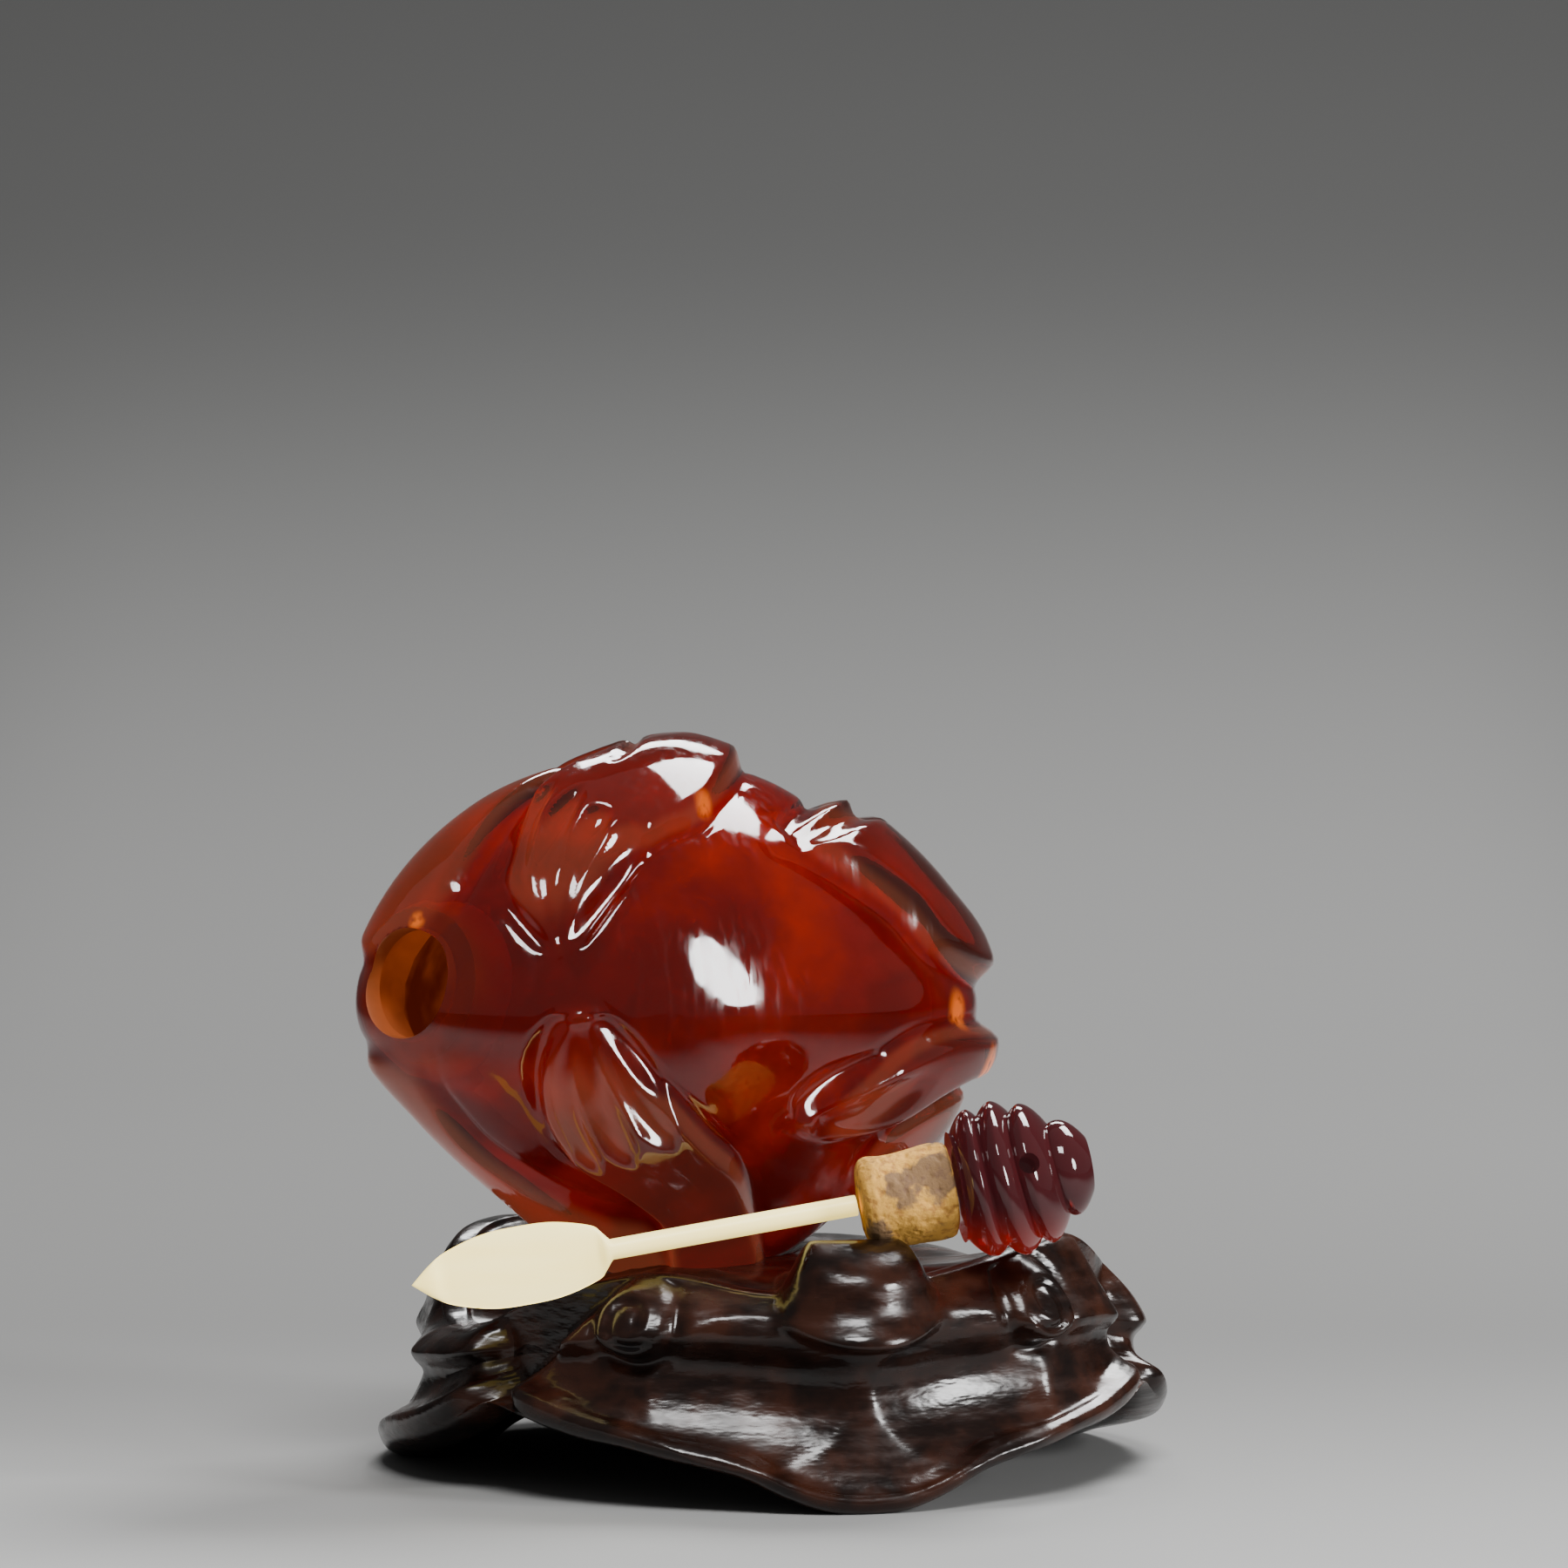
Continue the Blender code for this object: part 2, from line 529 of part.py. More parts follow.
def stand_carving(turn, height):
    """How far the stand's outer face stands out at one turn and its heights."""
    off = foot_turn(turn)
    half_leaf = 180.0 / FOOT_COUNT
    across = math.radians(off) * STAND_RADIUS
    front = front_share(turn)
    base = KNOB_BASE_HEIGHT + VOLUTE_RELIEF * 2 * (across / KNOB_HALF_WIDTH) ** 2
    top = KNOB_HEIGHT - KNOB_RELIEF
    rises = smooth_step(height, base, base + VOLUTE_RELIEF)
    rises = rises * (1 - smooth_step(height, top, KNOB_HEIGHT + VOLUTE_RELIEF))
    knob = KNOB_RELIEF * math.cos(min(abs(across) / KNOB_HALF_WIDTH, 1.0) * math.pi / 2) * rises
    scoops = 0.0
    for middle in (-SCOOP_OFFSET, SCOOP_OFFSET):
        gap = np.hypot((across - middle) / 1.7, height - SCOOP_HEIGHT)
        scoops = scoops + SCOOP_DEPTH * np.clip(1 - (gap / SCOOP_RADIUS) ** 2, 0, 1)
    left = math.radians(LEFT_VOLUTE_TURN) * STAND_RADIUS
    right = math.radians(RIGHT_VOLUTE_TURN) * STAND_RADIUS
    volutes = (volute_rise(across - left, height - LEFT_VOLUTE_HEIGHT)
               + volute_rise(right - across, height - RIGHT_VOLUTE_HEIGHT))
    lean = NOTCH_LEAN + (FRONT_NOTCH_LEAN - NOTCH_LEAN) * front * (off < 0)
    reach = NOTCH_HALF_TURN + lean * np.maximum(height - NOTCH_START, 0.0)
    notch = 1.0 - smooth_step(half_leaf - abs(off), reach - NOTCH_HALF_TURN, reach + NOTCH_HALF_TURN)
    notch = notch * smooth_step(height, NOTCH_START - VALLEY_DEPTH, NOTCH_START + LIP_HEIGHT)
    valley = VALLEY_DEPTH * math.exp(-((half_leaf - abs(off)) / (1.5 * NOTCH_HALF_TURN)) ** 2)
    return front * (knob + volutes) - scoops - NOTCH_DEPTH * notch - valley


def make_stand(wood, bottle):
    """The hardwood stand: a seat on three broad leaf feet, hollow underneath."""
    around = 180
    fine = 4
    rows = []
    for k in range(around):
        turn = 360.0 * k / around
        profile = spline_rows(stand_profile(turn), False, fine)
        outer = (smooth_step(profile[:, 0], STAND_RIM_RADIUS - 0.4 * RIM_FADE,
                             STAND_RIM_RADIUS + 0.6 * RIM_FADE)
                 * (np.arange(len(profile)) < 17 * fine))
        carved = profile[:, 0] + stand_carving(turn, profile[:, 1])
        carved = np.maximum(carved, STAND_RIM_RADIUS + 0.45 * STAND_RIM_WIDTH)
        profile[:, 0] += outer * (carved - profile[:, 0])
        rows.append(profile)
    rows = np.array(rows)
    turns = np.radians(np.arange(around) * 360.0 / around)[:, None]
    places = np.stack([rows[:, :, 0] * np.sin(turns), -rows[:, :, 0] * np.cos(turns),
                       rows[:, :, 1]], axis=2)
    points = [(0.0, 0.0, STAND_SEAT_HEIGHT)]
    points.extend(places.transpose(1, 0, 2).reshape(-1, 3))
    points.append((0.0, 0.0, STAND_UNDERSIDE_HEIGHT))
    stand = mesh_object("stand", points, ring_faces(around, rows.shape[1]), wood)
    thin_out(stand, STAND_TRIANGLES)
    seat = bpy.data.objects.new("cutter_seat", bottle.data)
    bpy.context.scene.collection.objects.link(seat)
    thin_out(seat, BOTTLE_TRIANGLES)
    middle = Vector(bottle_middle())
    swell = 1.0 + SEAT_GAP / (BOTTLE_BASE_SHARE * BOTTLE_LENGTH)
    seat.matrix_world = (Matrix.Translation(middle) @ Matrix.Scale(swell, 4)
                         @ Matrix.Translation(-middle))
    cut_with(stand, seat)
    floor_mesh = bpy.data.meshes.new("cutter_floor")
    work = bmesh.new()
    size = 4 * STAND_RADIUS
    bmesh.ops.create_cube(work, size=size, matrix=Matrix.Translation((0, 0, -size / 2)))
    work.to_mesh(floor_mesh)
    work.free()
    floor_cut = bpy.data.objects.new("cutter_floor", floor_mesh)
    bpy.context.scene.collection.objects.link(floor_cut)
    cut_with(stand, floor_cut)
    return stand


def assembly_frame():
    """World frame of the stopper's axis: +X runs from the spoon's tip to the stopper."""
    return (Matrix.Translation(CORK_END_PLACE)
            @ Matrix.Rotation(math.radians(ASSEMBLY_TURN), 4, "Z")
            @ Matrix.Rotation(math.radians(-ASSEMBLY_TILT), 4, "Y"))


def make_cork(cork):
    """The cork plug, a little narrower at its free end, from x = 0 along the axis."""
    rows = [(0.0, CORK_TIP_RADIUS - 0.7 * CORK_EDGE), (CORK_EDGE, CORK_TIP_RADIUS),
            (0.5 * CORK_LENGTH, 0.5 * (CORK_RADIUS + CORK_TIP_RADIUS) + 0.2 * CORK_EDGE),
            (CORK_LENGTH - CORK_EDGE, CORK_RADIUS),
            (CORK_LENGTH, CORK_RADIUS - 0.5 * CORK_EDGE)]

    def uneven(point, turn):
        twist = CORK_RIPPLE_TWIST * point.x
        swell = 1.0 + CORK_SWELL * math.cos(2 * turn + 0.6) + CORK_RIPPLE * math.cos(5 * turn + twist)
        return Vector((point.x, point.y * swell, point.z * swell))

    plug = lathe("cork", rows, 20, cork, uneven)
    plug.matrix_world = assembly_frame()
    return plug


def make_stopper(amber):
    """The stopper: a bulb of leaning rings that narrows to a flat end, with a blind hole."""
    start = CORK_LENGTH + TOUCH_GAP
    steps = 3 * RING_COUNT
    rows = []
    for step in range(steps + 1):
        share = step / steps
        bulb = STOPPER_RADIUS * float(np.interp(share * (len(BULB_SHARES) - 1),
                                                range(len(BULB_SHARES)), BULB_SHARES))
        wave = abs(math.cos(math.pi * RING_COUNT * (share - RING_START)))
        ring = RING_RELIEF * (wave ** 0.7 - 1.0)
        rows.append((start + STOPPER_LENGTH * share, bulb + ring))

    def lean(point, turn):
        share = (point.x - start) / STOPPER_LENGTH
        hold = math.sin(math.pi * min(max(share, 0.0), 1.0))
        return Vector((point.x + RING_LEAN * hold * math.cos(turn + 0.5), point.y, point.z))

    stopper = lathe("stopper", rows, 22, amber, lean)
    stopper.matrix_world = assembly_frame()
    hole_rows = [(-STOPPER_HOLE_DEPTH, STOPPER_HOLE_RADIUS),
                 (STOPPER_HOLE_DEPTH, STOPPER_HOLE_RADIUS)]
    drill = lathe("cutter_hole", hole_rows, 10, amber)
    aim = (Matrix.Rotation(math.radians(-90), 4, "Z")
           @ Matrix.Rotation(math.radians(STOPPER_HOLE_TILT), 4, "Y"))
    place = Matrix.Translation((start + STOPPER_HOLE_SHARE * STOPPER_LENGTH,
                                STOPPER_HOLE_INSET - STOPPER_RADIUS, STOPPER_HOLE_HEIGHT))
    drill.matrix_world = assembly_frame() @ place @ aim
    cut_with(stopper, drill)
    return stopper


def make_spoon(bone):
    """The bone spoon: a round stem and a flat leaf-shaped bowl, from the cork to the left."""
    steps = 16
    around = 12
    end = -TOUCH_GAP
    bowl_start = SPOON_LENGTH - SPOON_BOWL_LENGTH
    sections = [(end, SPOON_STEM_RADIUS, SPOON_STEM_RADIUS)]
    for share in (0.25, 0.5, 0.75, 0.94):
        sections.append((end - bowl_start * share, SPOON_STEM_RADIUS, SPOON_STEM_RADIUS))
    for step in range(1, steps):
        share = step / steps
        width = float(np.interp(share, BOWL_MARKS, BOWL_SHARES)) * SPOON_BOWL_WIDTH / 2
        thick = SPOON_BOWL_THICKNESS / 2 * (1.0 - 0.45 * share ** 3)
        thick += (SPOON_STEM_RADIUS - thick) * (1.0 - smooth_step(share, 0.0, 0.15))
        sections.append((end - bowl_start - SPOON_BOWL_LENGTH * share, width, thick))
    points = [(end, 0.0, 0.0)]
    for place, width, thick in sections:
        for k in range(around):
            turn = math.tau * k / around
            rise = width * math.sin(turn)
            front = -thick * math.cos(turn)
            hollow = SPOON_BOWL_HOLLOW * max(math.cos(turn), 0.0) ** 0.5
            hollow *= float(smooth_step(width, 1.5 * SPOON_STEM_RADIUS, 2.6 * SPOON_STEM_RADIUS))
            points.append((place, front + hollow, rise))
    points.append((end - SPOON_LENGTH, 0.0, 0.0))
    spoon = mesh_object("spoon", points, ring_faces(around, len(sections)), bone)
    spoon.matrix_world = assembly_frame()
    return spoon


def centre_on_origin(things):
    """Moves the finished things so that the middle of their box's base is the origin."""
    bpy.context.view_layer.update()
    graph = bpy.context.evaluated_depsgraph_get()
    corners = []
    for thing in things:
        shape = thing.evaluated_get(graph)
        corners.extend(thing.matrix_world @ v.co for v in shape.data.vertices)
    low = Vector([min(c[k] for c in corners) for k in range(3)])
    high = Vector([max(c[k] for c in corners) for k in range(3)])
    shift = Matrix.Translation((-(low.x + high.x) / 2, -(low.y + high.y) / 2, -low.z))
    for thing in bpy.context.scene.objects:
        thing.matrix_world = shift @ thing.matrix_world


def main():
    for thing in list(bpy.data.objects):
        bpy.data.objects.remove(thing, do_unlink=True)
    amber = make_material("dark_amber", (0.30, 0.03, 0.01), 0.08, 0.6)
    wood = make_material("dark_hardwood", (0.035, 0.012, 0.007), 0.25)
    cork = make_material("cork", (0.55, 0.36, 0.16), 0.85)
    bone = make_material("bone", (0.83, 0.79, 0.58), 0.35)
    bottle = make_bottle(amber)
    things = [bottle, make_stopper(amber), make_cork(cork), make_spoon(bone),
              make_stand(wood, bottle)]
    centre_on_origin(things)


main()
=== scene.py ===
# %% [markdown]
# The snuff bottle on its stand
#
# The object is a hollow amber bottle that lies on a carved hardwood stand. Its stopper, the
# cork and a small bone spoon lie across the front. The measured solids come in first as the
# frame, and every new piece takes the place of one of them.

# %% Load the frame
import math

import bpy
import numpy as np
from mathutils import Matrix, Vector, noise
from mathutils.bvhtree import BVHTree


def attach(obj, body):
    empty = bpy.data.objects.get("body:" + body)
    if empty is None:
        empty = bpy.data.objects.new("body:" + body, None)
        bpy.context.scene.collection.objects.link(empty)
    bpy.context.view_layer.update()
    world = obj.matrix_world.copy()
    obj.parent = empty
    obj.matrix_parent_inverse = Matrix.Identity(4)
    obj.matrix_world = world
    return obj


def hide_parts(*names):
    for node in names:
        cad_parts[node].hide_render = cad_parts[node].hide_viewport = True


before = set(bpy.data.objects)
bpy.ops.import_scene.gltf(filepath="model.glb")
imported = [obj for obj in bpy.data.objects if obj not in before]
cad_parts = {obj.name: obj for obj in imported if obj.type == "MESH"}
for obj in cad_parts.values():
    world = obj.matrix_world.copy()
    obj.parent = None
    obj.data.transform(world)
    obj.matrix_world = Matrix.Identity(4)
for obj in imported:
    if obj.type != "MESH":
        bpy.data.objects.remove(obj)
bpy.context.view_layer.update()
print("solids:", sorted(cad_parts))

# %% [markdown]
# Where things stand
#
# Three places tie the pieces together: the axis of the turned stand, the middle of the bottle
# and the end of the cork. The bottle's length sets the unit in which its carving is drawn.
# All are the same as in the solids, so the dressed pieces lie where the solids do.

# %% Shared places and sizes
STAND_AXIS = Vector((0.000604, 0.000163, 0.0))
BOTTLE_MIDDLE = STAND_AXIS + Vector((-0.0078, 0.0, 0.036819))
CORK_END = STAND_AXIS + Vector((0.0068, -0.0222, 0.0229))
BOTTLE_LENGTH = 0.0515
UNIT = BOTTLE_LENGTH / 100.0
HALF_DEPTH = 0.0192
YAW_SLOPE = 0.41
BOTTLE_WALL = 0.0036
MOUTH_PLACE = np.array((-41.0, 5.8)) * UNIT
print("bottle's middle in mm:", [round(v * 1000, 2) for v in BOTTLE_MIDDLE])

# %% [markdown]
# One way to make a smooth carved form
#
# Amber and hardwood are ground and polished by hand, so their forms have no straight edges
# to extrude. A primitive grid is a good start for them: each of its points knows how far it
# is across and along, and a rule gives its place in space. The grid rolls up like a sheet of
# paper, and merging its doubled points closes the seam and both ends.

# %% Helpers for rolling up a grid
MERGE_DISTANCE = 1e-6


def clear_selection():
    """Nothing selected, so that an operator acts on the new piece alone."""
    if bpy.context.object and bpy.context.object.mode != "OBJECT":
        bpy.ops.object.mode_set(mode="OBJECT")
    bpy.ops.object.select_all(action="DESELECT")


def points_of(thing):
    """The piece's points as rows of x, y, z."""
    flat = np.empty(3 * len(thing.data.vertices))
    thing.data.vertices.foreach_get("co", flat)
    return flat.reshape(-1, 3)


def move_points(thing, places):
    """Gives the piece's points new places."""
    thing.data.vertices.foreach_set("co", np.asarray(places, float).ravel())
    thing.data.update()


def rolled_grid(name, turns, rows, rule):
    """A closed skin: rule turns shares around and along into places."""
    clear_selection()
    bpy.ops.mesh.primitive_grid_add(x_subdivisions=turns, y_subdivisions=rows, size=2)
    thing = bpy.context.object
    thing.name = name
    flat = (points_of(thing) + 1.0) / 2.0
    move_points(thing, rule(flat[:, 0], flat[:, 1]))
    bpy.ops.object.mode_set(mode="EDIT")
    bpy.ops.mesh.select_all(action="SELECT")
    bpy.ops.mesh.remove_doubles(threshold=MERGE_DISTANCE)
    bpy.ops.mesh.normals_make_consistent(inside=False)
    bpy.ops.object.mode_set(mode="OBJECT")
    print(name, "has", len(thing.data.polygons), "faces")
    return thing


def polish(thing, rounds, angle):
    """Evens out the points as a polishing cloth would, then shades smooth."""
    clear_selection()
    bpy.context.view_layer.objects.active = thing
    thing.select_set(True)
    if rounds:
        bpy.ops.object.mode_set(mode="EDIT")
        bpy.ops.mesh.select_all(action="SELECT")
        bpy.ops.mesh.vertices_smooth(factor=0.5, repeat=rounds)
        bpy.ops.object.mode_set(mode="OBJECT")
    bpy.ops.object.shade_smooth_by_angle(angle=math.radians(angle))


def smooth_step(value, low, high):
    """0 below low, 1 above high and an even S between them."""
    share = np.clip((value - low) / (high - low), 0.0, 1.0)
    return share * share * (3.0 - 2.0 * share)


def spline_rows(points, closed, steps):
    """Points along a smooth curve that passes through all the given points."""
    points = np.array(points, float)
    count = len(points)
    rows = []
    for index in range(count if closed else count - 1):
        if closed:
            before, start, end, after = (points[(index + k) % count] for k in (-1, 0, 1, 2))
        else:
            before, start, end, after = (points[min(max(index + k, 0), count - 1)]
                                         for k in (-1, 0, 1, 2))
        for step in range(steps):
            t = step / steps
            rows.append(0.5 * (2 * start + (end - before) * t
                               + (2 * before - 5 * start + 4 * end - after) * t * t
                               + (3 * start - before - 3 * end + after) * t ** 3))
    if not closed:
        rows.append(points[-1])
    return np.array(rows)


def ring_value(values, turns):
    """Smooth value around a closed ring of evenly spaced values; turns runs from 0 to 1."""
    values = np.array(values, float)
    count = len(values)
    place = (turns % 1.0) * count
    index = np.floor(place).astype(int)
    t = place - index
    before, start, end, after = (values[(index + k) % count] for k in (-1, 0, 1, 2))
    return 0.5 * (2 * start + (end - before) * t
                  + (2 * before - 5 * start + 4 * end - after) * t * t
                  + (3 * start - before - 3 * end + after) * t ** 3)


def path_distance(places, path):
    """Distance of each place to the nearest piece of a path, and the share along it."""
    best = np.full(len(places), 1e9)
    along = np.zeros(len(places))
    for index in range(len(path) - 1):
        start = path[index]
        step = path[index + 1] - start
        t = np.clip(((places - start) @ step) / max(step @ step, 1e-18), 0.0, 1.0)
        gap = np.linalg.norm(places - start - t[:, None] * step, axis=1)
        nearer = gap < best
        best = np.where(nearer, gap, best)
        along = np.where(nearer, (index + t) / (len(path) - 1), along)
    return best, along


def region_depth(places, outline):
    """Distance inside a closed outline, negative outside it."""
    ring = np.vstack([outline, outline[:1]])
    gap, _ = path_distance(places, ring)
    inside = np.zeros(len(places), bool)
    for start, end in zip(ring[:-1], ring[1:]):
        crosses = (start[1] > places[:, 1]) != (end[1] > places[:, 1])
        rise = end[1] - start[1]
        rise = rise if abs(rise) > 1e-15 else 1e-15
        side = start[0] + (places[:, 1] - start[1]) * (end[0] - start[0]) / rise
        inside ^= crosses & (places[:, 0] < side)
    return np.where(inside, gap, -gap)


def wobble(places, size, seed):
    """Soft uneven noise from -1 to 1 over places, with lumps of about the given size."""
    offset = Vector((seed, -seed, 2.0 * seed))
    return np.array([noise.noise(Vector(p) / size + offset) for p in places])


# %% [markdown]
# The carved leaves of the bottle
#
# The bottle is an egg with lotus-like leaves folded round it, which a carver leaves standing
# while the ground between them is cut back. Sculpting them by hand would not give the same
# form twice, so each leaf is an outline drawn flat on the front view, and the carving says how
# high the skin stands at every place: up inside an outline, with a cut edge, and down in the
# flutes. Outlines are in hundredths of the bottle's length from its middle.

# %% Outlines of the egg and its leaves
EGG_RADII = (47.2, 40.8, 37.0, 37.0, 37.8, 38.8, 41.7, 45.2,
             48.3, 40.6, 37.4, 39.0, 42.0, 43.0, 42.0, 45.4)
FORE_UPPER_LEAF = ((-16.3, 9.2), (-20.8, 13.6), (-24.6, 19.1), (-24.3, 24), (-22.1, 29.2),
                   (-17, 34.1), (-6.2, 38.4), (-3.1, 42.8), (-1.4, 47.5), (7.5, 47.5),
                   (11.3, 42.1), (10.2, 36.9), (8.1, 33.3), (3.4, 28.5), (-1.1, 26.7),
                   (-5.8, 23.6), (-9.4, 19.8), (-13.2, 14.9))
FORE_LOWER_LEAF = ((-13.6, 2.4), (-17.8, -0.8), (-20.1, -6.1), (-20.2, -11.3), (-18.5, -16.2),
                   (-14, -21.3), (-6.7, -26.2), (-1.5, -31.4), (-0.4, -38), (2, -46.2),
                   (12.9, -46.2), (13.2, -38), (12.2, -31.4), (9.9, -22.7), (5.4, -17.8),
                   (0.3, -11.9), (-3.5, -8.1), (-10.2, 0.5))
HIND_UPPER_LEAF = ((16, 25.5), (18.6, 28.8), (22.5, 31), (25.8, 35.3), (37.3, 33.9),
                   (50.9, 20.4), (57.7, 8.1), (53, 2.7), (48.2, 2), (45.5, 3.1),
                   (38.7, 8.1), (33.3, 14.3), (25.1, 20.4), (19, 23.9))
HIND_LOWER_LEAF = ((17, -17.2), (21, -14.7), (25.1, -12.2), (31.9, -7.5), (37.3, -4.8),
                   (42.8, -4.1), (47.5, -5.2), (53, -5.7), (55.7, -10.9), (53, -15.2),
                   (48.9, -14.1), (43.5, -13), (38.7, -14.4), (31.9, -17.7), (24.4, -19.3))
TAIL_LEAF = ((27.2, -27.4), (30.6, -21), (36.7, -16.6), (43.5, -14.4), (50.9, -16.3),
             (49.6, -24.4), (37.3, -32.6), (29.2, -32.6))
UPPER_ARM = ((-37.3, 9.2), (-34.6, 14.9), (-31.9, 19.1), (-28.8, 24.4), (-25, 29.6),
             (-20.4, 33.3), (-12.9, 36.7), (-4.1, 39.6), (-2.4, 47.5), (-18.3, 46.2),
             (-34.6, 36.7), (-48.2, 24.4), (-53, 13.6), (-46.8, 8.8), (-41.4, 10.9))
LOWER_ARM = ((-37.6, -4.8), (-36.4, -8.8), (-34.6, -12.2), (-29.2, -19), (-23.8, -23.1),
             (-18.3, -26.5), (-10.2, -30.1), (-2.7, -32.6), (-0.7, -44.8), (-18.3, -43.5),
             (-31.9, -33.9), (-44.1, -21.7), (-52.3, -9.5), (-47.5, -6.1), (-42.8, -6.1))
FLUTES = (((-17.7, 10.9), (-22.1, 20.4), (-20.8, 27.8), (-17, 31.9)),
          ((-17.2, 11.5), (-18.2, 20.4), (-16.3, 26.5), (-12.6, 31.2)),
          ((-16.3, 11.5), (-14.5, 20.4), (-11.5, 26.5), (-8.6, 28.5)),
          ((-15.6, 11.5), (-11.5, 19.7), (-7.5, 24.4), (-4.1, 26.5)),
          ((-15.6, 0.7), (-18.9, -6.1), (-18.3, -12.9), (-14, -19.7)),
          ((-14.5, 0), (-15.6, -6.8), (-14.5, -13.6), (-10.2, -20.4)),
          ((-13.2, 0), (-12.1, -6.8), (-9.1, -13.6), (-5.4, -19.3)),
          ((-11.8, 0.7), (-8.1, -5.4), (-4.1, -11.5), (0, -17)),
          ((17, 26.9), (21, 29.2), (27.2, 28.9)),
          ((17.7, 25.5), (23.1, 26.5), (30.6, 25.1)),
          ((19, -15.6), (24.4, -11.5), (31.9, -7.9)),
          ((20.4, -17), (27.2, -14.7), (36, -10.2)))
CREASES = (((-3.5, 41.7), (-5.0, 38.3), (-8.1, 34.6)),)
print(len(FLUTES), "flutes and", len(CREASES), "crease")


# %% Height of the carving over the plain egg
CROWN_REACH = 0.0045
EDGE_LINE_DEPTH = 0.00016
EDGE_LINE_WIDTH = 0.00022
FLUTE_SIZE = (0.00118, 0.00130)
CREASE_SIZE = (0.0006, 0.0007)
# Outline, relief, width of the cut edge and length of the root of each raised form
RAISED_FORMS = ((UPPER_ARM, 0.0012, 0.0020, 0.006),
                (LOWER_ARM, 0.0012, 0.0020, 0.006),
                (TAIL_LEAF, 0.0016, 0.0009, 0.004),
                (FORE_UPPER_LEAF, 0.0022, 0.0011, 0.005),
                (FORE_LOWER_LEAF, 0.0022, 0.0011, 0.005),
                (HIND_UPPER_LEAF, 0.0027, 0.0018, 0.006),
                (HIND_LOWER_LEAF, 0.0027, 0.0012, 0.006))


def egg_radius(x, z):
    """Radius of the plain egg's front outline in the direction of (x, z)."""
    return ring_value(EGG_RADII, np.arctan2(z, x) / math.tau) * UNIT


def unroll(places):
    """Front-view places laid out flat, so that forms keep their width up to the outline."""
    radius = egg_radius(places[:, 0], places[:, 1])
    reach = np.linalg.norm(places, axis=1) / radius
    wrapped = np.arcsin(np.minimum(reach, 1.0)) / (math.pi / 2)
    beyond = np.maximum(reach - 1.0, 0.0) * 1.5
    return places * ((wrapped + beyond) / np.maximum(reach, 1e-9))[:, None]


def carved_outline(points, closed=True):
    """A carved outline in metres, smoothed and laid out flat."""
    return unroll(spline_rows(np.array(points) * UNIT, closed, 5))


def leaf_height(places, points, relief, edge, root):
    """A raised leaf with a cut edge and a fine line round it, which grows from one end."""
    outline = carved_outline(points)
    depth = region_depth(places, outline)
    rise = smooth_step(depth, -0.35 * edge, 0.65 * edge)
    crown = 0.80 + 0.20 * smooth_step(depth, 0.0, CROWN_REACH)
    line = EDGE_LINE_DEPTH * np.exp(-((depth + 0.45 * edge) / EDGE_LINE_WIDTH) ** 2)
    away = np.linalg.norm(places - outline[0], axis=1)
    return (relief * rise * crown - line) * smooth_step(away, -0.3 * root, root)


def flute_cut(places, points, width, deepest):
    """A hollow flute, narrow and shallow at both ends."""
    gap, along = path_distance(places, carved_outline(points, closed=False))
    spread = width * (0.30 + 0.9 * np.sin(math.pi * np.clip(along, 0, 1) ** 0.8) ** 0.7)
    depth = deepest * np.sin(math.pi * np.clip(along * 0.96 + 0.02, 0, 1)) ** 0.6
    return depth * np.clip(1.0 - (gap / spread) ** 2, 0.0, 1.0)


def bottle_relief(places):
    """Height of the carving over the plain egg at flat places on the front or the back."""
    height = np.zeros(len(places))
    for points, relief, edge, root in RAISED_FORMS:
        raised = leaf_height(places, points, relief, edge, root)
        height = np.where(np.abs(raised) > np.abs(height), raised, height)
    cut = np.zeros(len(places))
    for lines, (width, deepest) in ((FLUTES, FLUTE_SIZE), (CREASES, CREASE_SIZE)):
        for points in lines:
            cut = np.maximum(cut, flute_cut(places, points, width, deepest))
    return height - cut


print("forms stand out of the egg by, in mm:", [round(form[1] * 1000, 1) for form in RAISED_FORMS])

# %% [markdown]
# The amber bottle
#
# The grid rolls up into a globe whose poles face front and back, with more rows on the
# front, where the carving is looked at. Every direction from the middle meets the skin once,
# so the rule is a radius: that of the egg plus the carving. The egg then leans its depth
# along its length, which turns its mouth towards the viewer.

# %% Roll up the bottle's skin
BOTTLE_TURNS = 360
BOTTLE_ROWS = 230
FRONT_CROWDING = 0.2
CARVING_SPAN = 0.0022


def bottle_places(around, along, carved=True, inset=0.0):
    """Places on the bottle's skin, or on its hollow when inset."""
    angle = math.pi * ((1.0 - FRONT_CROWDING) * along + FRONT_CROWDING * along ** 3)
    turn = math.tau * around
    directions = np.column_stack([np.cos(turn) * np.sin(angle), -np.cos(angle),
                                  np.sin(turn) * np.sin(angle)])
    across = np.hypot(directions[:, 0], directions[:, 2])
    outline = egg_radius(directions[:, 0], directions[:, 2]) - inset
    radius = 1.0 / np.sqrt((across / outline) ** 2
                           + (directions[:, 1] / (HALF_DEPTH - inset)) ** 2)
    if carved:
        radius = radius + bottle_relief(unroll(directions[:, (0, 2)] * radius[:, None]))
    places = directions * radius[:, None]
    places[:, 1] += YAW_SLOPE * places[:, 0]
    return places + np.array(BOTTLE_MIDDLE)


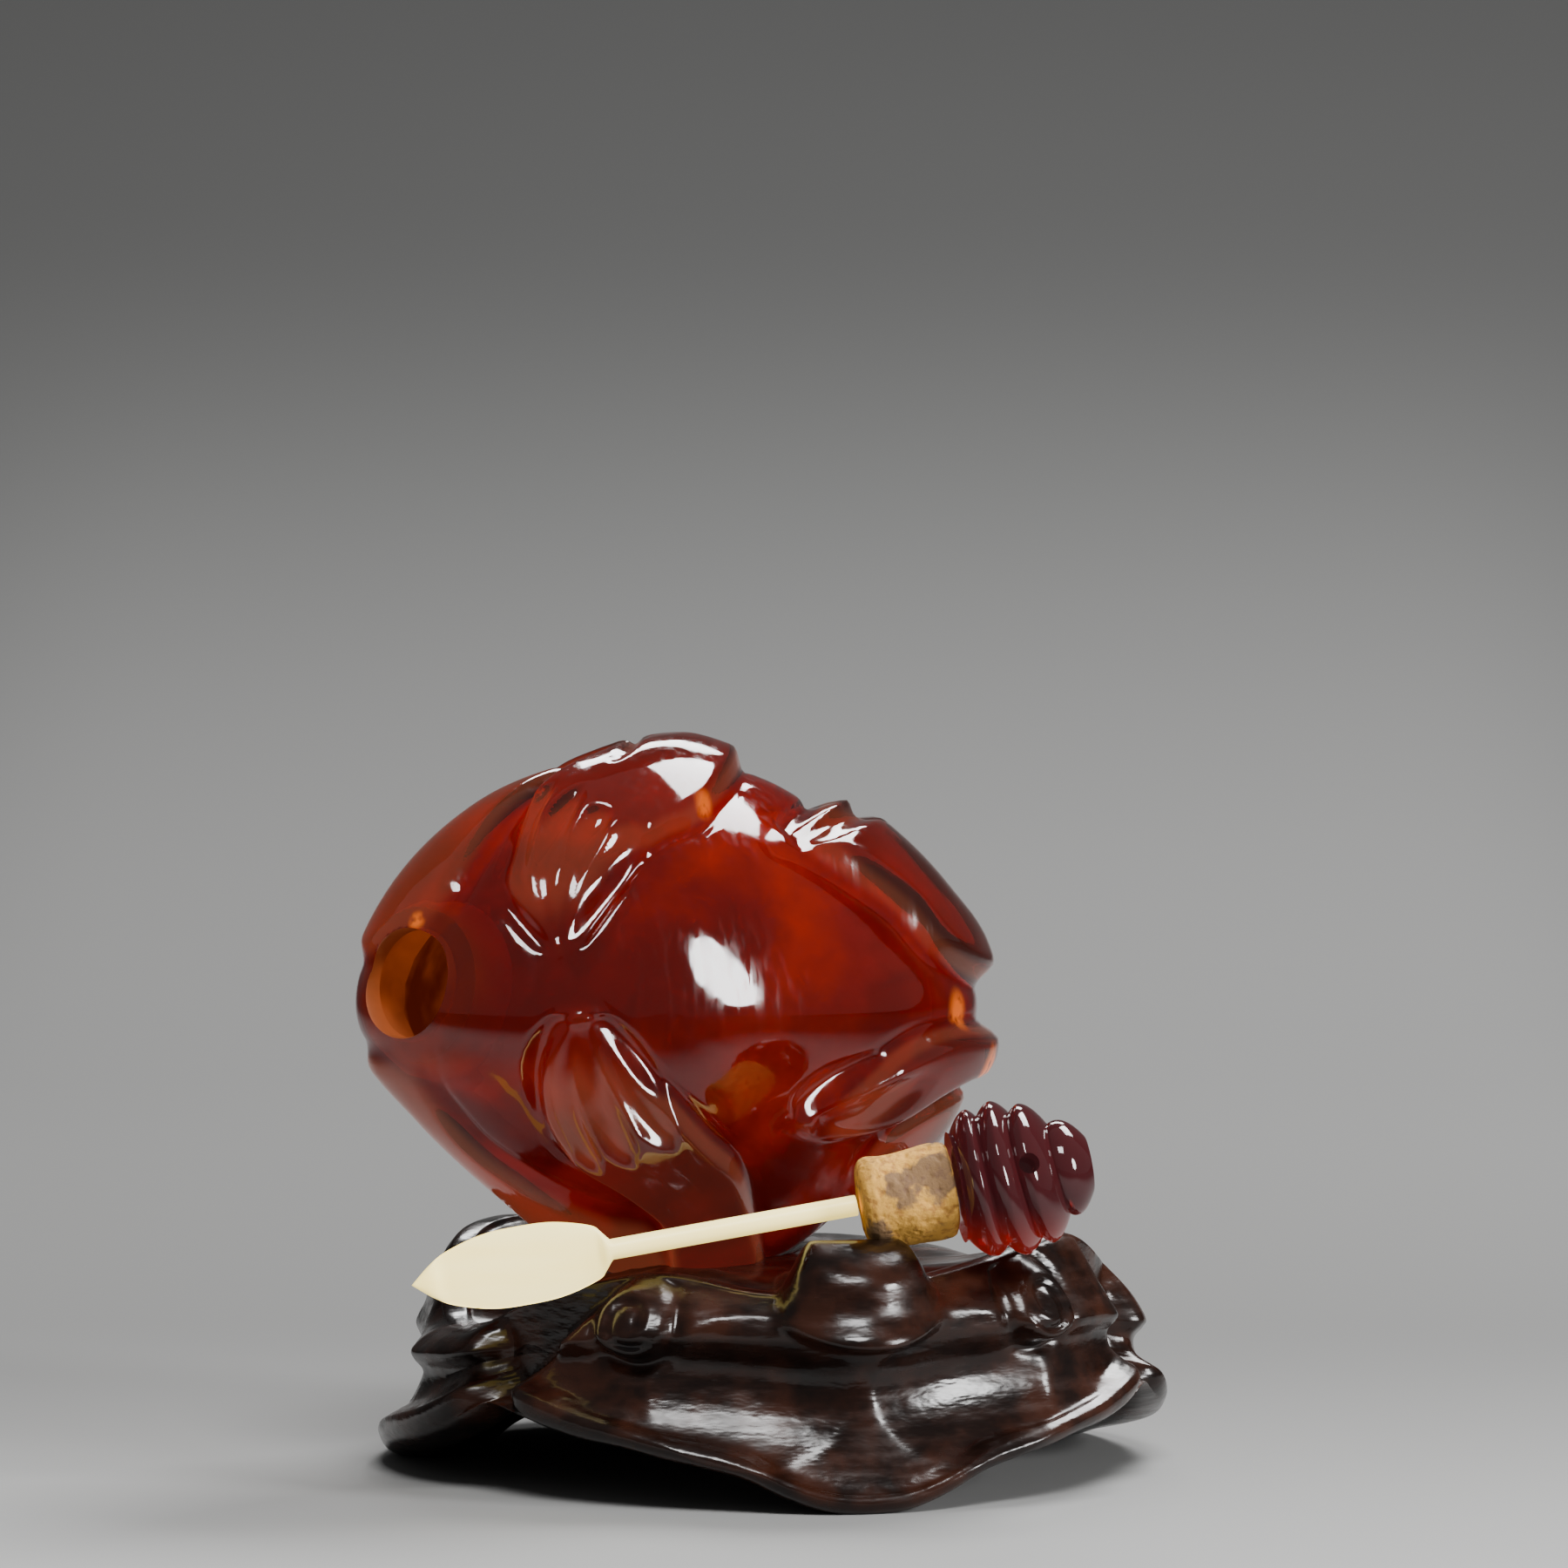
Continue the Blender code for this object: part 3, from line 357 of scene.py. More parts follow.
def mark_carving(thing):
    """Keeps on each point how far the carving stands out there, for the finish."""
    spots = points_of(thing) - np.array(BOTTLE_MIDDLE)
    spots[:, 1] -= YAW_SLOPE * spots[:, 0]
    directions = spots / np.linalg.norm(spots, axis=1)[:, None]
    across = np.hypot(directions[:, 0], directions[:, 2])
    outline = egg_radius(directions[:, 0], directions[:, 2])
    plain = 1.0 / np.sqrt((across / outline) ** 2 + (directions[:, 1] / HALF_DEPTH) ** 2)
    marks = thing.data.attributes.new("carving", "FLOAT", "POINT")
    marks.data.foreach_set("value", (np.linalg.norm(spots, axis=1) - plain) / CARVING_SPAN)


bottle = rolled_grid("amber_bottle", BOTTLE_TURNS, BOTTLE_ROWS, bottle_places)
polish(bottle, 2, 180)
mark_carving(bottle)
print("bottle's size in mm:", [round(v * 1000, 1) for v in bottle.dimensions])


# %% [markdown]
# The hollow and the mouth
#
# The inside of the bottle is ground out through the mouth, and leaves a wall of about
# 3.6 mm. A smaller egg and a turned neck are cut out of the skin with Boolean modifiers,
# because a real tool cuts them out of the whole piece too. The cutters carry the cloudy
# inside finish, and the cut faces take it over.

# %% Cut the hollow and the neck
def turned(name, rows, turns, frame_matrix):
    """A turned form from rows of (place, radius) along +X of a frame."""
    rows = np.array([(rows[0][0], 0.0), *rows, (rows[-1][0], 0.0)])

    def rule(around, along):
        index = along * (len(rows) - 1)
        place = np.interp(index, range(len(rows)), rows[:, 0])
        radius = np.interp(index, range(len(rows)), rows[:, 1])
        spots = np.column_stack([place, radius * np.cos(math.tau * around),
                                 radius * np.sin(math.tau * around)])
        matrix = np.array(frame_matrix)
        return spots @ matrix[:3, :3].T + matrix[:3, 3]

    return rolled_grid(name, turns, len(rows) - 1, rule)


def cut_out(thing, cutter):
    """Cuts the cutter out of a piece with an applied Boolean, then removes the cutter."""
    clear_selection()
    bpy.context.view_layer.objects.active = thing
    thing.select_set(True)
    cut = thing.modifiers.new("cut", "BOOLEAN")
    cut.operation = "DIFFERENCE"
    cut.solver = "EXACT"
    cut.object = cutter
    cut.material_mode = "TRANSFER"
    bpy.ops.object.modifier_apply(modifier=cut.name)
    bpy.data.objects.remove(cutter, do_unlink=True)


def egg_normal(x, z):
    """Place and outward direction of the plain egg's front at a front-view place."""
    radius = float(egg_radius(np.array([x]), np.array([z]))[0])
    depth = -HALF_DEPTH * math.sqrt(1.0 - (x * x + z * z) / radius ** 2)
    pull = depth / HALF_DEPTH ** 2
    normal = Vector((x / radius ** 2 - YAW_SLOPE * pull, pull, z / radius ** 2))
    return Vector((x, depth + YAW_SLOPE * x, z)) + BOTTLE_MIDDLE, normal.normalized()


mouth, outward = egg_normal(*MOUTH_PLACE)
mouth_frame = Matrix.Translation(mouth) @ outward.to_track_quat("X", "Z").to_matrix().to_4x4()
print("mouth in mm:", [round(v * 1000, 2) for v in mouth])

# %% [markdown]
# A way to write a finish
#
# A finish is a node tree. Written as nodes and links it is hard to read, so a small class
# wraps a socket and lets the signs for plus, minus and times add the Math nodes, and one
# method adds any other node with its settings and the values of its sockets.

# %% Shader helpers
class Signal:
    """The output of a node, used in expressions."""

    def __init__(self, finish, socket):
        self.finish = finish
        self.socket = socket

    def math(self, operation, *others):
        values = {index: value for index, value in enumerate(others)}
        return self.finish.node("ShaderNodeMath", {"operation": operation}, values)

    def __add__(self, other):
        return self.math("ADD", self, other)

    def __sub__(self, other):
        return self.math("SUBTRACT", self, other)

    def __rsub__(self, other):
        return self.math("SUBTRACT", other, self)

    def __mul__(self, other):
        return self.math("MULTIPLY", self, other)

    def between(self, low, high):
        """0 at low and 1 at high, held to that range."""
        return self.finish.node("ShaderNodeMapRange", {"interpolation_type": "SMOOTHSTEP"},
                                {"Value": self, "From Min": low, "From Max": high})


class Finish:
    """A material with a Principled shader, and the means to add nodes to it."""

    def __init__(self, name, plain):
        self.material = bpy.data.materials.new(name)
        self.material.use_nodes = True
        self.tree = self.material.node_tree
        self.shader = self.tree.nodes["Principled BSDF"]
        for socket, value in plain.items():
            self.shader.inputs[socket].default_value = value
        self.coords = self.node("ShaderNodeTexCoord", {}, {}, "Object")

    def node(self, kind, settings, values, output=0):
        """Adds a node, first its settings, then the values or links of its sockets."""
        made = self.tree.nodes.new(kind)
        for name, value in settings.items():
            setattr(made, name, value)
        for name, value in values.items():
            if isinstance(value, Signal):
                self.tree.links.new(value.socket, made.inputs[name])
            else:
                made.inputs[name].default_value = value
        return Signal(self, made.outputs[output])

    def feed(self, socket, signal):
        """Links a signal to a socket of the shader."""
        self.tree.links.new(signal.socket, self.shader.inputs[socket])

    def blend(self, factor, first, second):
        """A colour between two, by a factor."""
        settings = {"data_type": "RGBA"}
        return self.node("ShaderNodeMix", settings, {0: factor, 6: first, 7: second}, 2)

    def axis(self, letter):
        """How far a place lies along one axis of the piece."""
        return self.node("ShaderNodeSeparateXYZ", {}, {"Vector": self.coords}, letter)

    def away_from(self, spot):
        """How far a place lies from one spot."""
        return self.node("ShaderNodeVectorMath", {"operation": "DISTANCE"},
                         {0: self.coords, 1: spot}, "Value")

    def cloud(self, scale, detail=3.0, stretch=None):
        """Noise over the piece's own coordinates, in lumps per metre."""
        spots = self.coords
        if stretch:
            spots = self.node("ShaderNodeMapping", {}, {"Vector": spots, "Scale": stretch})
        return self.node("ShaderNodeTexNoise", {},
                         {"Vector": spots, "Scale": scale, "Detail": detail})

    def bump(self, height, distance, strength=1.0):
        """Fine relief that feeds the shader's normal."""
        rise = self.node("ShaderNodeBump", {},
                         {"Height": height, "Distance": distance, "Strength": strength})
        self.feed("Normal", rise)


def put_on(thing, *finishes):
    """Gives the piece these finishes as its material slots."""
    thing.data.materials.clear()
    for finish in finishes:
        thing.data.materials.append(finish.material)


print("finish helpers are ready")

# %% [markdown]
# Dark polished amber
#
# Amber lets light in and colours it, so its red depends on how thick it is. The shader is
# see-through with a plain volume colour, so that thin edges are bright and thick parts dark.
# The leaves are painted darker and browner by the stored height of the carving, as painted shade
# for their thicker amber, and they carry a faint painted glow of their own. Real amber also
# scatters some light inside, and a painted glow stands in for that: a thin line along the cut
# edges, and orange spots at the tips where the amber is thinnest. The inside of the bottle was
# never polished, so it is rough and cloudy, and holds the light like a lantern; a painted glow in
# cloudy patches stands in for that light.

# %% Amber finishes
AMBER_VOLUME = (0.94, 0.55, 0.02, 1.0)
AMBER_DENSITY = 850.0
# Place and reach of the spots that glow orange
THIN_SPOTS = (((0.0180, 0.0064, 0.0310), 0.0026), ((0.0153, 0.0024, 0.0360), 0.0022),
              ((-0.0048, -0.0105, 0.0532), 0.0016), ((-0.0270, -0.0171, 0.0445), 0.0010))


def amber_finish(name, base, roughness, density, transmission):
    """See-through amber with its colour in its depth."""
    finish = Finish(name, {"Base Color": (*base, 1.0), "Roughness": roughness, "IOR": 1.54,
                           "Specular IOR Level": 0.35, "Transmission Weight": transmission})
    volume = finish.tree.nodes.new("ShaderNodeVolumeAbsorption")
    volume.inputs["Color"].default_value = AMBER_VOLUME
    volume.inputs["Density"].default_value = density
    output = finish.tree.nodes["Material Output"]
    finish.tree.links.new(volume.outputs["Volume"], output.inputs["Volume"])
    return finish


amber = amber_finish("dark_amber", (0.85, 0.45, 0.25), 0.05, AMBER_DENSITY, 1.0)
raised = amber.node("ShaderNodeAttribute", {"attribute_name": "carving"}, {}, "Fac")
flames = amber.cloud(75.0, 4.0, (1.0, 1.0, 1.6)).between(0.42, 0.66)
glow = amber.blend(flames, (0.42, 0.16, 0.10, 1.0), (0.92, 0.42, 0.20, 1.0))
# Painted shade: the base colour turns darker and browner where the carving stands higher, for the
# thicker amber of the leaves.
amber.feed("Base Color", amber.blend(raised.between(0.1, 0.9) * 0.8, glow,
                                     (0.27, 0.13, 0.11, 1.0)))
# The emission is a painted glow: faint brown-red over the amber and stronger on the raised leaves,
# brighter along the cut edges, and orange at the thin spots.
cut_edge = raised.between(0.05, 0.35) * (1.0 - raised.between(0.55, 0.85))
faint_glow_colour = amber.blend(raised.between(0.0, 0.9), (0.012, 0.001, 0.001, 1.0), (0.040, 0.010, 0.007, 1.0))
edge_glow_colour = amber.blend(cut_edge, faint_glow_colour, (0.100, 0.026, 0.012, 1.0))
thin = 0.0
for spot, reach in THIN_SPOTS:
    thin = amber.away_from(spot).between(reach, 0.25 * reach) + thin
thin = thin * amber.cloud(700.0, 3.0).between(0.30, 0.52)
amber.feed("Emission Color", amber.blend(thin, edge_glow_colour, (0.75, 0.15, 0.008, 1.0)))
amber.shader.inputs["Emission Strength"].default_value = 1.0
scratches = amber.cloud(1400.0, 2.0, (1.0, 1.0, 0.15))
amber.feed("Roughness", scratches.between(0.40, 0.70) * 0.09 + 0.04)
amber.bump(scratches, 0.00002, 0.25)
inside = amber_finish("cloudy_inside", (0.34, 0.085, 0.02), 0.6, AMBER_DENSITY, 0.3)
# The inside's emission is a painted glow in cloudy patches, standing in for the light held in the
# hollow.
inside_glow_patches = inside.cloud(110.0, 4.0).between(0.40, 0.68)
inside.feed("Emission Color", inside.blend(inside_glow_patches, (0.05, 0.006, 0.001, 1.0),
                                           (0.40, 0.07, 0.01, 1.0)))
inside.shader.inputs["Emission Strength"].default_value = 0.45
put_on(bottle, amber, inside)
print("amber density:", AMBER_DENSITY)

# %% Cut the mouth and the hollow
# Place along the mouth's axis and radius, from deep in the throat out to the lip
NECK_ROWS = ((-0.0110, 0.0050), (-0.0055, 0.0062), (-0.0026, 0.0058), (-0.0022, 0.00425),
             (-0.0009, 0.00425), (-0.0003, 0.00455), (0.0, 0.00495), (0.0009, 0.0064))
hollow = rolled_grid("hollow", 64, 32, lambda u, v: bottle_places(u, v, False, BOTTLE_WALL))
put_on(hollow, inside)
cut_out(bottle, hollow)
neck = turned("neck", NECK_ROWS, 96, mouth_frame)
put_on(neck, inside)
cut_out(bottle, neck)
polish(bottle, 0, 65)
print("bottle has", len(bottle.data.polygons), "faces after the cuts")

# %% [markdown]
# The hardwood stand
#
# The stand is turned and then carved into three broad feet like folded leaves. Its section
# changes with the turn, so the grid rolls up round the axis: one row is the section from the
# seat over the rim, down the outside and back underneath. Volutes, a knob, scoops and a lip
# along the lower edge are then carved into the outside.

# %% Rules for the stand's form
STAND_RADIUS = 0.0315
RIM_RADIUS = 0.0256
RIM_WIDTH = 0.0018
SEAT_HEIGHT = 0.0168
UNDERSIDE = 0.0098
RIM_HEIGHTS = (0.0165, 0.0170, 0.0184, 0.0198, 0.0170, 0.0148, 0.0145, 0.0142, 0.0128,
               0.0162, 0.0175, 0.0175, 0.0184, 0.0172, 0.0124, 0.0128, 0.0160, 0.0178)
SHOULDER_HEIGHTS = (0.0134, 0.0134, 0.0136, 0.0138, 0.0122, 0.0112, 0.0112, 0.0115, 0.0108,
                    0.0115, 0.0118, 0.0118, 0.0110, 0.0105, 0.0102, 0.0106, 0.0124, 0.0136)
FRONT_EDGE = (0.0, 0.0003, 0.0014, 0.0029, 0.0037, 0.0043, 0.0050, 0.0054, 0.0060, 0.0068, 0.0074)
OTHER_EDGE = (0.0, 0.0, 0.0004, 0.0012, 0.0018, 0.0024, 0.0030, 0.0037, 0.0047, 0.0060, 0.0074)
EDGE_HEIGHTS = (FRONT_EDGE + OTHER_EDGE[9::-1] + OTHER_EDGE[1:] + OTHER_EDGE[9::-1]
                + OTHER_EDGE[1:] + FRONT_EDGE[9:0:-1])
KNOB_HEIGHT = 0.0205
KNOB_BOTTOM = 0.0122
KNOB_HALF_WIDTH = 0.0074
KNOB_RELIEF = 0.0028
KNOB_TURNS = (7.4, 13.5)
FRONT_FOOT_TURN = 14.0
FOOT_SPACING = 120.0
FOOT_PAD_SINK = 0.00035
VOLUTE_RELIEF = 0.0012
VOLUTE_PITCH = 0.0016
VOLUTE_GROOVE = 0.0006
# Turn in degrees from the middle of the front foot, and height, of each rolled leaf end
LEFT_VOLUTE = (35.4, 0.0146)
RIGHT_VOLUTE = (31.3, 0.0153)
SCOOP_OFFSET = 0.0094
SCOOP_HEIGHT = 0.0092
SCOOP_RADIUS = 0.0058
SCOOP_STRETCH = 1.5
SCOOP_DEPTH = 0.0018
NOTCH_START = 0.0088
NOTCH_DEPTH = 0.0058
VALLEY_DEPTH = 0.0022


def foot_turn(turns):
    """Degrees from the middle of the nearest of the three feet."""
    half = FOOT_SPACING / 2.0
    return (turns - FRONT_FOOT_TURN + half) % FOOT_SPACING - half


def front_share(turns):
    """1 on the front leaf and 0 on the other two."""
    off = np.abs((turns - FRONT_FOOT_TURN + 180.0) % 360.0 - 180.0)
    return 1.0 - smooth_step(off, 50.0, 62.0)


def stand_profile(turn):
    """Radius and height of the stand's section at one turn, from the seat round to below."""
    ring = np.array([turn / 360.0])
    low = float(ring_value(EDGE_HEIGHTS, ring - FRONT_FOOT_TURN / 360.0)[0]) - FOOT_PAD_SINK
    rim = float(ring_value(RIM_HEIGHTS, ring)[0])
    off = float(foot_turn(turn))
    front = float(front_share(turn))
    knob = (1.0 - float(smooth_step(abs(off), *KNOB_TURNS))) * front
    rim += max(KNOB_HEIGHT - rim, 0.0) * knob
    shoulder = min(float(ring_value(SHOULDER_HEIGHTS, ring)[0]), rim - 0.0020)
    body = shoulder - low
    side = RIM_RADIUS + 0.0010 * knob
    inner = STAND_RADIUS - 0.0052
    lip = 0.0024 - 0.0008 * front * (1.0 - float(smooth_step(abs(off), 34.0, 52.0)))
    flare = low + max(0.24 * body, lip + 0.0008)
    drop = min(rim - shoulder, 0.0040)
    return [(0.0, SEAT_HEIGHT), (0.30 * side, SEAT_HEIGHT), (0.55 * side, SEAT_HEIGHT),
            (0.78 * side, min(SEAT_HEIGHT + 0.0008, rim)),
            (side - RIM_WIDTH, rim - 0.0006), (side - 0.5 * RIM_WIDTH, rim),
            (side + 0.35 * RIM_WIDTH, rim - 0.0002),
            (side + 0.85 * RIM_WIDTH, shoulder + 0.80 * (rim - shoulder)),
            (0.0286, shoulder + 0.50 * drop), (0.0298, shoulder),
            (0.0296, low + 0.90 * body), (0.0289, low + 0.79 * body),
            (0.0289, max(low + 0.66 * body, flare + 0.0014)),
            (0.0294, max(low + 0.45 * body, flare + 0.0006)), (0.0302, flare),
            (0.0309, low + lip + 0.0004), (0.0314, low + lip), (0.0315, low + 0.65 * lip),
            (0.0308, low + 0.20 * lip), (0.0290, low),
            (inner, low), (inner - 0.0013, low + 0.0012),
            (inner - 0.0026, max(0.75 * UNDERSIDE, min(low + 0.004, UNDERSIDE))),
            (inner - 0.0065, UNDERSIDE), (0.30 * side, UNDERSIDE), (0.0, UNDERSIDE)]


def volute(across, height):
    """A rolled leaf end: a round boss with a spiral groove."""
    gap = np.hypot(across, height)
    boss = 1.0 - smooth_step(gap, 0.0028, 0.0034)
    twist = gap / VOLUTE_PITCH - np.arctan2(height, across) / math.tau
    groove = np.exp(-(((twist % 1.0) - 0.5) / 0.20) ** 2) * smooth_step(gap, 0.0003, 0.0010)
    moat = 0.0006 * np.exp(-((gap - 0.0037) / 0.0006) ** 2)
    return VOLUTE_RELIEF * boss - VOLUTE_GROOVE * groove * boss - moat


def stand_carving(turn, height):
    """How far the stand's outer face stands out at one turn and height."""
    off = float(foot_turn(turn))
    across = math.radians(off) * STAND_RADIUS
    front = float(front_share(turn))
    bottom = KNOB_BOTTOM + 0.0020 * (across / KNOB_HALF_WIDTH) ** 2
    knob_rise = (smooth_step(height, bottom - 0.0001, bottom + 0.0006)
                 * (1 - smooth_step(height, 0.0172, 0.0214)))
    sideways = min(abs(across) / KNOB_HALF_WIDTH, 1.0)
    knob = KNOB_RELIEF * math.cos(sideways * math.pi / 2) * knob_rise
    scoops = 0.0
    for side in (-1, 1):
        gap = np.hypot((across - side * SCOOP_OFFSET) / SCOOP_STRETCH, height - SCOOP_HEIGHT)
        scoops = scoops + SCOOP_DEPTH * np.clip(1 - (gap / SCOOP_RADIUS) ** 2, 0, 1)
    curls = (volute(across + math.radians(LEFT_VOLUTE[0]) * STAND_RADIUS, height - LEFT_VOLUTE[1])
             + volute(math.radians(RIGHT_VOLUTE[0]) * STAND_RADIUS - across,
                      height - RIGHT_VOLUTE[1]))
    rise = np.clip(height - NOTCH_START, 0.0, 0.012)
    lean = 500.0 + 1500.0 * front * (off < 0)
    reach = 3.0 + lean * rise
    notch = 1.0 - smooth_step(60.0 - abs(off), reach - 2.5, reach + 3.0)
    notch = notch * smooth_step(height, 0.0066, 0.0100)
    valley = VALLEY_DEPTH * math.exp(-((abs(off) - 60.0) / 4.5) ** 2)
    return front * (knob + curls) - scoops - NOTCH_DEPTH * notch - valley


# %% Roll up the stand
STAND_TURNS = 400
SECTION_STEPS = 8


def stand_sections():
    """The stand's places as an array of turns by rows."""
    sections = []
    for index in range(STAND_TURNS + 1):
        turn = 360.0 * (index % STAND_TURNS) / STAND_TURNS
        section = spline_rows(stand_profile(turn), False, SECTION_STEPS)
        section[:, 0] = np.maximum(section[:, 0], 0.0)
        rows = np.arange(len(section))
        outer = (smooth_step(section[:, 0], RIM_RADIUS - 0.001, RIM_RADIUS + 0.0015)
                 * (rows < 18 * SECTION_STEPS))
        carved = section[:, 0] + stand_carving(turn, section[:, 1])
        carved = np.maximum(carved, RIM_RADIUS + 0.45 * RIM_WIDTH)
        section[:, 0] += outer * (carved - section[:, 0])
        section[0, 0] = section[-1, 0] = 0.0
        section[:, 1] = np.maximum(section[:, 1], 0.0)
        sections.append(section)
    return np.array(sections)


sections = stand_sections()
STAND_ROWS = sections.shape[1] - 1


def stand_places(around, along):
    """Places on the stand's skin."""
    column = np.rint(around * STAND_TURNS).astype(int)
    row = np.rint(along * STAND_ROWS).astype(int)
    radius = sections[column, row, 0]
    turn = math.tau * (column % STAND_TURNS) / STAND_TURNS
    places = np.column_stack([radius * np.sin(turn), -radius * np.cos(turn),
                              sections[column, row, 1]])
    return places + np.array(STAND_AXIS)


stand = rolled_grid("hardwood_stand", STAND_TURNS, STAND_ROWS, stand_places)

# %% [markdown]
# The seat
#
# The seat is hollowed to the bottle's own form, as a carver fits a stand to its piece. Every
# point of the stand that would touch the bottle, or come nearer than 0.4 mm under it, goes
# straight down to that gap, so the two never pass through each other.

# %% Hollow the seat to the bottle
SEAT_GAP = 0.0004


def press_seat(thing, over):
    """Lowers the points of the stand's top that come too near the bottle."""
    graph = bpy.context.evaluated_depsgraph_get()
    tree = BVHTree.FromObject(over, graph)
    places = points_of(thing)
    lowered = 0
    for index, place in enumerate(places):
        if place[2] < UNDERSIDE + 0.0015:
            continue
        hit = tree.ray_cast(Vector((place[0], place[1], -0.01)), Vector((0, 0, 1)))[0]
        if hit is not None and place[2] > hit.z - SEAT_GAP:
            places[index, 2] = hit.z - SEAT_GAP
            lowered += 1
    move_points(thing, places)
    print("lowered", lowered, "points of the seat")


press_seat(stand, bottle)
polish(stand, 1, 75)

# %% [markdown]
# Lacquered hardwood
#
# The wood is nearly black, with a red-brown that shows where the wax is thin, and it shines.
# Noise stretched along the grain gives both the colour and the roughness their streaks, and a
# faint bump of tool marks breaks the highlights into short strokes.

# %% Hardwood finish
wood = Finish("dark_hardwood", {"Specular IOR Level": 0.38})
patches = wood.cloud(220.0, 4.0).between(0.42, 0.68)
grain = wood.cloud(900.0, 3.0, (0.25, 0.25, 1.0)).between(0.35, 0.75)
wood.feed("Base Color", wood.blend(patches * 0.6 + grain * 0.25, (0.005, 0.0022, 0.0016, 1.0),
                                   (0.040, 0.012, 0.006, 1.0)))
wood.feed("Roughness", grain * 0.16 + 0.17)
marks = wood.cloud(1500.0, 2.0, (0.35, 0.35, 1.0)) + wood.cloud(260.0, 2.0) * 1.6
wood.bump(marks, 0.00010, 0.6)
put_on(stand, wood)
print("wood finish is on the stand")

# %% [markdown]
# The stopper, the cork and the spoon
#
# The three lie on one line, because the spoon's stem is stuck in the cork and the cork in
# the stopper. They share a frame whose +X runs from the spoon's tip to the stopper. The cork
# is cut with a knife and uneven, the stopper is a carved bulb whose rings lean, and the spoon
# is whittled from one strip of bone, so each has its own rule for the rolled grid.

# %% Frame of the stopper's line
line_frame = (Matrix.Translation(CORK_END)
              @ Matrix.Rotation(math.radians(6.0), 4, "Z")
              @ Matrix.Rotation(math.radians(-9.6), 4, "Y"))


def in_line(spots):
    """Spots along the stopper's line as places in the scene."""
    matrix = np.array(line_frame)
    return spots @ matrix[:3, :3].T + matrix[:3, 3]


print("the line rises 9.6 degrees to the right")

# %% Roll up the cork
CORK_LENGTH = 0.0072
# Share of the way round the section, radius there, and share of the length there
CORK_MARKS = (0.0, 0.14, 0.18, 0.22, 0.27, 0.5, 0.76, 0.81, 0.86, 1.0)
CORK_RADII = (0.0, 0.0025, 0.0030, 0.0033, 0.0035, 0.0037, 0.0038, 0.0037, 0.0034, 0.0)
CORK_REACHES = (0.0, 0.0, 0.015, 0.05, 0.12, 0.5, 0.92, 0.97, 1.0, 1.0)
LUMP_HEIGHT = 0.00030
PIT_DEPTH = 0.00016


def cork_places(around, along):
    """A rough plug: nearly flat ends and uneven sides with lumps and pits."""
    radius = np.interp(along, CORK_MARKS, CORK_RADII)
    place = CORK_LENGTH * np.interp(along, CORK_MARKS, CORK_REACHES)
    turn = math.tau * around
    spots = np.column_stack([place, radius * np.cos(turn), radius * np.sin(turn)])
    lumps = wobble(spots, 0.0022, 3.0) * LUMP_HEIGHT
    pits = wobble(spots, 0.0006, 7.0)
    pits = -PIT_DEPTH * smooth_step(pits, 0.25, 0.70)
    swell = (1.0 + 0.03 * np.cos(2 * turn + 0.6) + 0.02 * np.cos(5 * turn + place * 400.0))
    out = (1.0 + (lumps + pits) / np.maximum(radius, 0.0015)) * swell
    spots[:, 1] *= out
    spots[:, 2] *= out
    inward = smooth_step(np.abs(spots[:, 0] - CORK_LENGTH / 2), 0.0030, 0.0036)
    middle = np.sign(CORK_LENGTH / 2 - spots[:, 0])
    spots[:, 0] += middle * inward * np.abs(pits + lumps) * 0.5
    return in_line(spots)


cork = rolled_grid("cork_plug", 140, 90, cork_places)
polish(cork, 0, 50)

# %% Cork finish
STAIN_PLACE = (0.0120, -0.0250, 0.0250)
bark = Finish("old_cork", {"Roughness": 0.85})
specks = bark.cloud(1500.0, 5.0).between(0.50, 0.66)
near_stain = bark.away_from(STAIN_PLACE).between(0.0040, 0.0012)
stains = (bark.cloud(420.0, 6.0) + near_stain * 0.16).between(0.56, 0.66)
tan = bark.blend(specks, (0.70, 0.36, 0.06, 1.0), (0.48, 0.22, 0.04, 1.0))
bark.feed("Base Color", bark.blend(stains * 0.8, tan, (0.11, 0.07, 0.055, 1.0)))
bark.bump(bark.cloud(2600.0, 4.0) + bark.cloud(700.0, 3.0) * 2.0, 0.00015, 0.7)
put_on(cork, bark)
print("cork finish is on the plug")

# %% Roll up the stopper
STOPPER_START = CORK_LENGTH + 0.0003
STOPPER_LENGTH = 0.0105
STOPPER_RADIUS = 0.0061
BULB = (0.80, 0.97, 1.0, 0.93, 0.70, 0.45)
RINGS = 4
RING_START = 0.15
RING_RELIEF = 0.0009
RING_LEAN = 0.0012
HOLE_SHARE = 0.51
HOLE_RADIUS = 0.0008


def stopper_places(around, along):
    """A bulb of leaning rings that narrows to a flat end."""
    marks = (0.0, 0.07, 0.94, 1.0)
    share = np.interp(along, marks, (0.0, 0.0, 1.0, 1.0))
    body = np.interp(share * (len(BULB) - 1), range(len(BULB)), BULB) * STOPPER_RADIUS
    ring = RING_RELIEF * (np.abs(np.cos(math.pi * RINGS * (share - RING_START))) ** 0.8 - 1.0)
    closing = np.interp(along, marks, (0.0, 1.0, 1.0, 0.0))
    radius = (body + ring) * np.sqrt(1.0 - (1.0 - closing) ** 2)
    turn = math.tau * around
    place = STOPPER_START + STOPPER_LENGTH * share
    place = place + RING_LEAN * np.sin(math.pi * share) * np.cos(turn + 0.5)
    spots = np.column_stack([place, radius * np.cos(turn), radius * np.sin(turn)])
    return in_line(spots)


